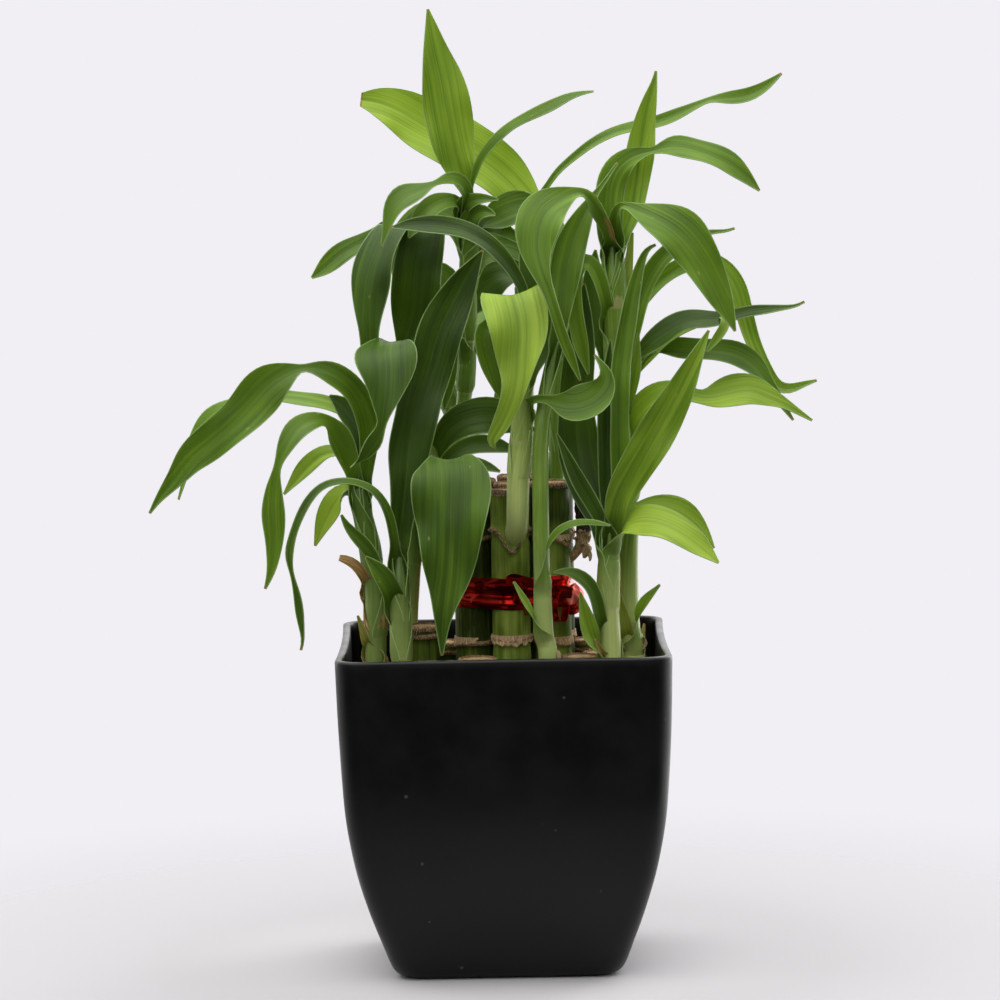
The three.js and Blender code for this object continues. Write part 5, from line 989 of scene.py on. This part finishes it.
def make_soil(stems):
    """The growing medium: a lumpy top inside the pot, with chips of bark on it."""
    rng = random.Random(5)
    rows = []
    for z in (POT_FLOOR + 0.3, 6, 11.6, 23, 37, 53, 68, 80):
        rows.append((z, pot_half(z) - POT_WALL - 0.3 - (2 if z < 5 else 0), 1))
    for i in range(SOIL_RINGS):
        rows.append((SOIL_TOP, pot_half(SOIL_TOP) - POT_WALL - 0.35, 1 - i / SOIL_RINGS))
    marked = []
    for z, half, scale in rows:
        for x, y in rounded_square(half, POT_CORNER - POT_WALL - 0.3, 0.4, 6, 18):
            x, y, height = x * scale, y * scale, z
            if z == SOIL_TOP:
                place = Vector((x * 0.06, y * 0.06, 3))
                height += 1.3 * noise.noise(place) + 1.1 * noise.noise(place * 4.1)
                height += 0.6 * noise.noise(place * 11) - 1.2
            marked.append((Vector((x, y, height)), ((x, y, height), (0.3, 0, 0), (0, 0, 0))))
    shape = Shape()
    shape.add_tube(marked, len(marked) // len(rows))
    taken = [(x, y, 7.5) for x, y, _ in tall_canes + short_canes]
    for stem in stems:
        point, radius, _ = stem.at(max(SOIL_TOP - stem.points[0].z, 0))
        if point.z < SOIL_TOP + 3:
            taken.append((point.x, point.y, radius + 1))
    chips = 0
    while chips < SOIL_CHIPS:
        x, y = rng.uniform(-48, 48), rng.uniform(-48, 48)
        size = rng.uniform(0.8, 3.2)
        if any(math.hypot(x - a, y - b) < near + size * 0.6 for a, b, near in taken):
            continue
        chips += 1
        tilt = Matrix.Rotation(rng.uniform(0, 6.28), 3, "Z") @ Matrix.Rotation(rng.uniform(-0.5, 0.5), 3, "X")
        sizes = (size * rng.uniform(0.9, 1.9), size * rng.uniform(0.5, 1), size * rng.uniform(0.25, 0.6))
        pale = 1.0 if rng.random() < 0.16 else rng.uniform(0, 0.6)
        centre = Vector((x, y, SOIL_TOP - 0.6 + rng.uniform(-0.4, 1.2)))
        add_blob(shape, centre, sizes, chips, 0.5, (pale, 0, 0), 9, 5, tilt)
    return shape


# Materials

def linear(red, green, blue):
    """A colour given in 0 to 255 steps of the screen, as Blender's linear colour."""
    def light(value):
        value /= 255
        return value / 12.92 if value <= 0.04045 else ((value + 0.055) / 1.055) ** 2.4
    return light(red), light(green), light(blue), 1.0


class Graph:
    """The nodes of a new material or world, built with short calls. Colours are given in 0 to 255 steps."""

    def __init__(self, name, owners=bpy.data.materials):
        self.owner = owners.new(name)
        self.owner.use_nodes = True
        self.tree = self.owner.node_tree
        self.tree.nodes.clear()

    def node(self, kind, inputs=(), **settings):
        made = self.tree.nodes.new(kind)
        for key, value in settings.items():
            setattr(made, key, value)
        for key, value in dict(inputs).items():
            if isinstance(value, bpy.types.NodeSocket):
                self.tree.links.new(value, made.inputs[key])
            else:
                made.inputs[key].default_value = value
        return made

    def parts(self, name):
        """The three numbers of a mesh attribute."""
        return self.split(self.node("ShaderNodeAttribute", attribute_name=name).outputs["Vector"])

    def split(self, vector):
        return tuple(self.node("ShaderNodeSeparateXYZ", {0: vector}).outputs)

    def position(self):
        return self.node("ShaderNodeTexCoord").outputs["Object"]

    def math(self, operation, *values):
        return self.node("ShaderNodeMath", enumerate(values), operation=operation).outputs[0]

    def add(self, total, *others):
        for other in others:
            total = self.math("ADD", total, other)
        return total

    def times(self, a, b):
        return self.math("MULTIPLY", a, b)

    def swing(self, value, amount):
        """How far a noise is from its middle, times an amount."""
        return self.times(self.add(value, -0.5), amount)

    def rise(self, value, low, high, start=0.0, end=1.0):
        """A smooth change from start to end as value goes from low to high."""
        return self.node("ShaderNodeMapRange", {0: value, 1: low, 2: high, 3: start, 4: end},
                         interpolation_type="SMOOTHSTEP").outputs[0]

    def fall(self, value, low, high):
        return self.rise(value, low, high, 1.0, 0.0)

    def vector(self, x, y, z):
        return self.node("ShaderNodeCombineXYZ", {0: x, 1: y, 2: z}).outputs[0]

    def noise(self, place, scale=1.0, detail=2.0, rough=0.5):
        inputs = {"Vector": place, "Scale": scale, "Detail": detail, "Roughness": rough}
        return self.node("ShaderNodeTexNoise", inputs).outputs[0]

    def stretched(self, across, wide, along, long, seed):
        """A place on a surface for a texture, with how fine it is across and along."""
        return self.vector(self.times(across, wide), self.times(along, long), seed)

    def grain(self, across, wide, along, long, seed, detail=2.0, rough=0.5):
        return self.noise(self.stretched(across, wide, along, long, seed), 1.0, detail, rough)

    def cells(self, place, scale=1.0):
        return self.node("ShaderNodeTexVoronoi", {"Vector": place, "Scale": scale}).outputs[0]

    def blend(self, share, a, b):
        """A mix of two colours."""
        return self.node("ShaderNodeMix", {0: share, 6: a, 7: b}, data_type="RGBA").outputs[2]

    def tint(self, color, share, amount, *rgb):
        """The colour, drawn towards another by a share times an amount."""
        return self.blend(self.times(share, amount), color, linear(*rgb))

    def ramp(self, value, *stops):
        """A colour that runs through (position, red, green, blue) stops."""
        node = self.node("ShaderNodeValToRGB", {0: value})
        elements = node.color_ramp.elements
        while len(elements) < len(stops):
            elements.new(0.5)
        for element, (position, *rgb) in zip(elements, stops):
            element.position = position
            element.color = linear(*rgb)
        return node.outputs[0]

    def bump(self, height, distance, strength):
        inputs = {"Height": height, "Distance": distance, "Strength": strength}
        return self.node("ShaderNodeBump", inputs).outputs[0]

    def surface(self, **inputs):
        """The principled shader; names are given with _ for spaces."""
        named = {key.replace("_", " "): value for key, value in inputs.items()}
        return self.node("ShaderNodeBsdfPrincipled", named).outputs[0]

    def glow(self, **inputs):
        """Light that shines through."""
        return self.node("ShaderNodeBsdfTranslucent", inputs).outputs[0]

    def mixed(self, share, a, b):
        """A mix of two shaders."""
        return self.node("ShaderNodeMixShader", {0: share, 1: a, 2: b}).outputs[0]

    def done(self, shader, kind="ShaderNodeOutputMaterial"):
        self.node(kind, {0: shader})
        return self.owner


def stalk_green(g, shade, tone, rise):
    """The green of stems and sheaths, which is paler low down, where rise goes from 0 to -1."""
    green = g.ramp(shade, (0.0, 70, 100, 24), (0.5, 110, 140, 48), (1.0, 176, 194, 104))
    return g.blend(g.times(g.fall(rise, -1.0, 0.0), g.rise(tone, 0.0, 0.7, 0.15, 0.6)), green,
                   linear(196, 206, 134))


def leaf_material():
    g = Graph("leaf_blade")
    across, distance, u = g.parts("place")
    tone, v, dry = g.parts("look")
    under, sheath, seed = g.parts("side")
    broad = g.grain(across, 0.55, distance, 0.014, seed, 3)
    vein = g.grain(across, 2.4, distance, 0.02, seed)
    patch = g.grain(across, 0.09, distance, 0.045, seed)
    shade = g.add(tone, g.swing(broad, 0.55), g.swing(patch, 0.45), g.swing(vein, 0.45))
    green = g.ramp(shade, (0.0, 38, 61, 13), (0.28, 70, 101, 21), (0.6, 110, 146, 34), (1.0, 176, 205, 70))
    size = g.math("ABSOLUTE", across)
    # Darker along the middle of the blade: painted shade in the midrib's crease.
    green = g.tint(green, g.fall(size, 0.1, 0.5), 0.25, 60, 88, 18)
    green = g.tint(green, under, 0.45, 132, 160, 94)
    stalk = stalk_green(g, g.add(tone, g.swing(broad, 0.5)), tone, v)
    green = g.blend(g.rise(sheath, 0.0, 0.7), green, stalk)
    # How far the nearer edge of the blade is
    edge = g.math("SUBTRACT", g.math("DIVIDE", size, g.math("MAXIMUM", g.math("ABSOLUTE", u), 0.05)), size)
    green = g.tint(green, g.fall(edge, 0.1, 0.4), 0.75, 158, 188, 118)
    speck = g.cells(g.stretched(across, 0.14, distance, 0.07, seed))
    green = g.tint(green, g.fall(speck, 0.02, 0.07), 0.55, 176, 180, 104)
    tan = g.ramp(g.grain(across, 1.4, distance, 0.12, seed, 3),
                 (0.3, 122, 84, 44), (0.5, 176, 136, 84), (0.7, 208, 178, 128))
    tip = g.add(g.rise(v, 0.987, 0.998), g.swing(vein, 0.3))
    dried = g.times(dry, g.rise(g.add(broad, g.times(dry, 0.6)), 0.42, 0.7))
    worn = g.math("MAXIMUM", dried, g.times(g.rise(tip, 0.3, 0.9), 0.9))
    color = g.blend(worn, green, tan)
    normal = g.bump(g.add(g.times(vein, 0.7), g.times(broad, 0.6)), 0.00024, 0.7)
    rough = g.add(g.times(patch, 0.16), g.add(g.times(under, 0.08), 0.4), g.times(worn, 0.3))
    skin = g.surface(Base_Color=color, Roughness=rough, Specular_IOR_Level=0.34, Normal=normal)
    glow = g.glow(Color=g.blend(0.5, color, linear(184, 208, 40)), Normal=normal)
    return g.done(g.mixed(g.rise(sheath, 0.0, 1.0, 0.34, 0.04), skin, glow))


def stem_material():
    g = Graph("stem_green")
    around, distance, _ = g.parts("place")
    tone, rise, _ = g.parts("look")
    ring, _, seed = g.parts("side")
    streak = g.grain(around, 1.1, distance, 0.03, seed, 3)
    patch = g.grain(around, 0.2, distance, 0.08, seed)
    shade = g.add(tone, g.add(g.swing(streak, 0.8), g.swing(patch, 0.4)))
    green = g.tint(stalk_green(g, shade, tone, rise), g.rise(ring, 0.45, 0.9), 0.6, 170, 160, 112)
    fine = g.noise(g.vector(around, g.times(distance, 0.4), seed), 3.0)
    normal = g.bump(g.add(streak, g.times(fine, 0.3)), 0.0002, 0.5)
    return g.done(g.surface(Base_Color=green, Roughness=g.rise(patch, 0.3, 0.7, 0.3, 0.42), Normal=normal))


def cane_material():
    g = Graph("cane_skin")
    around, z, _ = g.parts("place")
    tone, bark, cut = g.parts("look")
    out, _, seed = g.parts("side")
    streak = g.grain(around, 0.75, z, 0.025, seed, 4, 0.6)
    fine = g.grain(around, 4.0, z, 0.12, seed, 3)
    patch = g.grain(around, 0.12, z, 0.05, seed)
    shade = g.add(g.add(g.times(streak, 0.6), g.times(patch, 0.8)), g.add(g.times(tone, 0.5), -0.5))
    green = g.ramp(shade, (0.1, 44, 56, 14), (0.35, 86, 104, 32), (0.6, 134, 152, 66), (0.85, 186, 196, 116))
    green = g.tint(green, g.rise(fine, 0.6, 0.75), 0.35, 152, 158, 112)
    husk = g.ramp(g.grain(around, 2.2, z, 1.1, seed, 4, 0.65),
                  (0.28, 72, 46, 30), (0.45, 128, 92, 62), (0.62, 176, 156, 124), (0.8, 206, 190, 160))
    husky = g.rise(g.add(bark, g.swing(fine, 0.4)), 0.34, 0.55)
    # The cut top, with fibres, and a darker rim
    fibre = g.cells(g.vector(around, g.times(out, 30.0), seed), 1.3)
    pith = g.ramp(g.add(g.times(fibre, 0.5), g.times(fine, 0.5)),
                  (0.2, 104, 78, 50), (0.5, 170, 144, 102), (0.8, 208, 186, 142))
    pith = g.blend(g.rise(out, 0.72, 0.86), pith, linear(92, 62, 40))
    color = g.blend(cut, g.blend(husky, green, husk), pith)
    height = g.add(g.times(streak, 0.4), g.times(fine, g.add(g.times(husky, 1.4), 0.15)))
    rough = g.rise(g.math("MAXIMUM", husky, cut), 0.0, 1.0, 0.58, 0.8)
    return g.done(g.surface(Base_Color=color, Roughness=rough, Specular_IOR_Level=0.1,
                            Normal=g.bump(height, 0.0004, 0.6)))


def husk_material():
    g = Graph("dry_husk")
    around, z, _ = g.parts("place")
    _, _, dry = g.parts("look")
    _, _, seed = g.parts("side")
    fibre = g.grain(around, 2.6, z, 0.5, seed, 4, 0.65)
    pale = g.ramp(fibre, (0.25, 122, 84, 54), (0.5, 186, 154, 112), (0.75, 232, 218, 188))
    dark = g.ramp(fibre, (0.3, 22, 14, 10), (0.5, 58, 40, 28), (0.75, 120, 90, 62))
    color = g.blend(g.rise(g.add(dry, g.swing(fibre, 0.8)), 0.3, 0.7), dark, pale)
    skin = g.surface(Base_Color=color, Roughness=0.8, Normal=g.bump(fibre, 0.0004, 0.8))
    return g.done(g.mixed(0.15, skin, g.glow(Color=color)))


def foil_material():
    g = Graph("red_foil")
    place = g.position()
    knot = g.parts("look")[0]
    color = g.ramp(g.noise(place, 160.0), (0.3, 150, 12, 10), (0.7, 204, 52, 44))
    # The knot's colour is drawn towards light pink: a painted highlight.
    color = g.blend(g.rise(knot, 0.5, 1.0), color, linear(240, 120, 110))
    rough = g.add(g.rise(g.noise(place, 500.0), 0.3, 0.7, 0.2, 0.26), g.rise(knot, 0.5, 1.0, 0.0, 0.14))
    return g.done(g.surface(Base_Color=color, Metallic=1.0, Roughness=rough,
                            Normal=g.bump(g.noise(place, 200.0, 1), 0.0002, 0.12)))


def pot_material():
    g = Graph("black_plastic")
    place = g.position()
    smear = g.noise(place, 55.0, 4, 0.6)
    speck = g.fall(g.cells(place, 70.0), 0.03, 0.05)
    color = g.ramp(g.noise(place, 14.0, 3), (0.3, 4, 4, 4), (0.7, 7, 7, 7))
    color = g.tint(color, speck, 0.2, 120, 122, 124)
    height = g.add(g.times(g.noise(place, 1900.0), 0.12), g.times(smear, 0.5))
    rough = g.add(g.rise(smear, 0.3, 0.7, 0.3, 0.42), g.times(speck, 0.3))
    return g.done(g.surface(Base_Color=color, Roughness=rough, Specular_IOR_Level=0.26,
                            Normal=g.bump(height, 0.00015, 0.5)))


def soil_material():
    g = Graph("growing_medium")
    tone = g.parts("look")[0]
    place = g.position()
    grit = g.noise(place, 700.0, 5, 0.65)
    clump = g.noise(place, 160.0, 3)
    dark = g.ramp(grit, (0.3, 16, 11, 8), (0.55, 46, 32, 22), (0.8, 96, 70, 46))
    tan = g.ramp(grit, (0.3, 92, 64, 40), (0.7, 168, 134, 94))
    color = g.blend(g.rise(g.add(tone, g.swing(clump, 0.5)), 0.55, 0.85), dark, tan)
    return g.done(g.surface(Base_Color=color, Roughness=0.9, Normal=g.bump(g.add(grit, clump), 0.0012, 0.8)))


# The plant

def numbered(name, canes):
    """The names of the canes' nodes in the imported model."""
    return [name + str(k + 1) for k in range(len(canes))]


leaf_skin = leaf_material()
stem_skin = stem_material()
cane_skin = cane_material()
husk_skin = husk_material()

stems = [Stem(path) for _, _, path, _ in SHOOTS]
for number, (stem, (name, pale, _, leaves)) in enumerate(zip(stems, SHOOTS)):
    blades, stalk = Shape(), Shape()
    # Higher leaves come first, with their sheaths inside those of the lower ones.
    order = sorted(range(len(leaves)), key=lambda k: -stem.nearest(placed(*leaves[k][3][0][:3])))
    nodes = [add_leaf(blades, leaves[k], stem, place, number * 31 + k + 1, pale)
             for place, k in enumerate(order)]
    blades.piece(name + "_leaves", leaf_skin, "leaf", [name], 50)
    add_stem(stalk, stem, nodes, number + 1, pale)
    stalk.piece(name + "_stem", stem_skin, "leaf", [name])

# The tall and the short canes as (x, y, top)
tall_canes = []
for index, top in enumerate(TALL_TOPS):
    turn = math.radians((index - 1) * 60 + BUNDLE_DEGREES)
    tall_canes.append((*from_front(turn, TALL_RING if index else 0, BUNDLE_X), top))
short_canes = [(*from_front(math.radians(degrees), SHORT_RING, SHORT_RING_X), top)
               for degrees, top in SHORT_CANES]

FRONT = -math.pi / 2
# Canes 1 and 2, at the front, keep lighter tones. The others get a dark tone as painted shade among the
# canes.
TALL_TONES = {1: 0.48, 2: 0.38}
tall, short, papers = Shape(), Shape(), Shape()
for index, (x, y, top) in enumerate(tall_canes):
    outward = math.atan2(y, x - BUNDLE_X) if index else 0
    # The front cane carries a shoot, so its upper scar dips deeply.
    nodes = [(108.5, 0.6, outward), (143.5, 2.5, outward)]
    if index == 1:
        nodes = [(110.4, 0.6, outward), (146.8, 7.0, FRONT + 0.1)]
    add_cane(tall, x, y, top, CANE_RADIUS, nodes, index + 1, TALL_TONES.get(index, -0.1))
    if index == 1:
        add_skirt(papers, x, y, CANE_RADIUS + 0.1, 112, 4.2, FRONT - 1.7, FRONT + 1.7, 3)
        add_skirt(papers, x, y, CANE_RADIUS, 160.4, 1.6, FRONT - 1.6, FRONT + 1.3, 4, 0.4)
        add_scar(papers, x, y, CANE_RADIUS + 0.45, nodes[1], 51)
    elif index:
        add_skirt(papers, x, y, CANE_RADIUS + 0.1, 110.5, 3.4, outward - 1.3, outward + 1.3, index + 5)
        add_skirt(papers, x, y, CANE_RADIUS + 0.1, 144.5, 2.6, outward - 0.9, outward + 0.8, index + 15, 0.7)
        add_skirt(papers, x, y, CANE_RADIUS, top - 0.8, 1.6, outward - 1.2, outward + 1.4, index + 25, 0.35)
tall.piece("canes_tall", cane_skin, "cane", numbered("cane_tall_", tall_canes), 50)

# The short canes get a low tone, and their papers a low dryness that darkens them: painted shade above the
# pot's rim.
for index, (x, y, top) in enumerate(short_canes):
    add_cane(short, x, y, top, CANE_RADIUS - 0.2, [(top - 3.4, 0.4, 0)], index + 11, -0.05)
    outward = math.atan2(y, x - SHORT_RING_X)
    add_skirt(papers, x, y, CANE_RADIUS - 0.1, top - 1.2, 3.2, outward - 1.4, outward + 1.1, index + 40, 0.45)
short.piece("canes_short", cane_skin, "cane", numbered("cane_short_", short_canes), 50)
add_scales(papers)
papers.piece("cane_papers", husk_skin, "dry_stalk", [], 40)

make_stub().piece("withered_stub", husk_skin, "dry_stalk", ["dead_stub"], 40)
make_ribbon().piece("foil_ribbon", foil_material(), "foil", ["ribbon"], 55)
make_pot().piece("pot_shell", pot_material(), "pot_plastic", ["pot"], 60)
make_soil(stems).piece("soil_fill", soil_material(), "soil", ["soil"])


# The stage: a pale floor that runs out into an even pale background, in metres

FLOOR_RADIUS = 0.6
FLOOR_RINGS = 60
FLOOR_SIDES = 72
BACKGROUND = linear(241, 239, 244)


def floor_material():
    g = Graph("pale_floor")
    place = g.position()
    away = g.node("ShaderNodeVectorMath", {0: place}, operation="LENGTH").outputs["Value"]
    # The floor is lighter near the pot and darker further out: painted light against the pot's shadow, and
    # painted shade on the far floor.
    color = g.ramp(g.noise(place, 9.0, 3), (0.3, 170, 168, 171), (0.7, 174, 172, 175))
    color = g.blend(g.rise(away, 0.06, 0.12), color, linear(159, 157, 160))
    color = g.blend(g.rise(away, 0.12, 0.35), color, linear(154, 152, 155))
    # A painted pool of light on the floor in front of the pot
    sideways, depth, _ = g.split(place)
    front = g.times(g.fall(depth, -0.075, -0.03), g.fall(g.math("ABSOLUTE", sideways), 0.02, 0.065))
    front = g.times(front, g.rise(away, 0.07, 0.13, 0.35, 0.0))
    color = g.blend(front, color, linear(206, 204, 207))
    paper = g.surface(Base_Color=color, Roughness=0.7, Normal=g.bump(g.noise(place, 900.0), 0.0002, 0.2))
    clear = g.node("ShaderNodeBsdfTransparent").outputs[0]
    return g.done(g.mixed(g.rise(away, 0.1, 0.33), paper, clear))


def make_floor():
    vertices = [Vector((0, 0, 0))]
    for i in range(1, FLOOR_RINGS + 1):
        vertices += [spun(turn, FLOOR_RADIUS * i / FLOOR_RINGS, 0) for turn in circle(FLOOR_SIDES)]
    faces = [(0, 1 + k, 1 + (k + 1) % FLOOR_SIDES) for k in range(FLOOR_SIDES)]
    faces += [tuple(1 + i for i in (a, d, c, b)) for a, b, c, d in ring_quads(FLOOR_RINGS, FLOOR_SIDES)]
    mesh = bpy.data.meshes.new("floor")
    mesh.from_pydata(vertices, [], faces)
    mesh.materials.append(floor_material())
    floor = bpy.data.objects.new("floor", mesh)
    bpy.context.scene.collection.objects.link(floor)


def make_world():
    """An even pale background, and light that comes mostly from above and behind."""
    g = Graph("studio", bpy.data.worlds)
    right, back, height = g.split(g.node("ShaderNodeTexCoord").outputs[0])
    high = g.rise(height, 0.0, 0.5, 0.0, 0.9)
    behind = g.rise(back, -0.35, 0.3, 0.02, 0.85)
    sideways = g.node("ShaderNodeMapRange", {0: right, 1: -0.5, 2: 0.6, 3: 0.9, 4: 2.2}).outputs[0]
    path = g.node("ShaderNodeLightPath")
    # Gloss shows the light from behind at full strength.
    mirrored = g.node("ShaderNodeMapRange", {0: path.outputs["Is Glossy Ray"], 3: 0.4, 4: 1.0}).outputs[0]
    strength = g.math("MULTIPLY_ADD", g.times(behind, mirrored), sideways, high)
    light = g.node("ShaderNodeBackground", {0: (1.0, 0.995, 0.99, 1.0), 1: strength}).outputs[0]
    seen = g.node("ShaderNodeBackground", {0: BACKGROUND, 1: 1.0}).outputs[0]
    shader = g.mixed(path.outputs["Is Camera Ray"], light, seen)
    bpy.context.scene.world = g.done(shader, "ShaderNodeOutputWorld")


# Each softbox: its name, place, target, width, height, power and colour
SOFTBOXES = [
    ("top_softbox", (-0.2, -0.25, 1.25), (0, 0, 0.15), 1.6, 1.2, 15.4, (1, 0.99, 0.97)),
    ("back_softbox", (0.45, 0.95, 1.0), (0, 0, 0.2), 1.3, 0.9, 4, (1, 1, 0.99)),
    ("right_softbox", (0.8, 0.85, 0.4), (0, 0, 0.12), 0.45, 0.8, 5, (1, 1, 0.99)),
    ("left_softbox", (-0.85, 0.8, 0.4), (0, 0, 0.12), 0.45, 0.8, 1.6, (1, 1, 0.99)),
    ("front_softbox", (-0.3, -1.2, 0.7), (0, 0, 0.15), 0.9, 0.7, 2.2, (1, 0.99, 0.98)),
]
LENS = 178.85
CAMERA_PLACE = Vector((0, -1.65, 0.3255))
CAMERA_TARGET = Vector((-0.00022, 0, 0.155))
CAMERA_ROLL = math.radians(-1.02)


def aim(place, target):
    """The turn that points a lamp or a camera at a target."""
    return (target - place).to_track_quat("-Z", "Y")


make_floor()
make_world()
for name, place, target, width, height, power, color in SOFTBOXES:
    data = bpy.data.lights.new(name, "AREA")
    data.shape = "RECTANGLE"
    data.size, data.size_y = width, height
    data.energy = power
    data.color = color
    lamp = bpy.data.objects.new(name, data)
    lamp.location = place
    lamp.rotation_euler = aim(Vector(place), Vector(target)).to_euler()
    bpy.context.scene.collection.objects.link(lamp)

eye = bpy.data.objects.new("camera", bpy.data.cameras.new("camera"))
eye.data.sensor_width = 36
eye.data.lens = LENS
eye.location = CAMERA_PLACE
eye.rotation_mode = "QUATERNION"
eye.rotation_quaternion = aim(CAMERA_PLACE, CAMERA_TARGET) @ Quaternion((0, 0, 1), CAMERA_ROLL)
bpy.context.scene.collection.objects.link(eye)
bpy.context.scene.camera = eye
bpy.context.scene.view_settings.view_transform = "Standard"
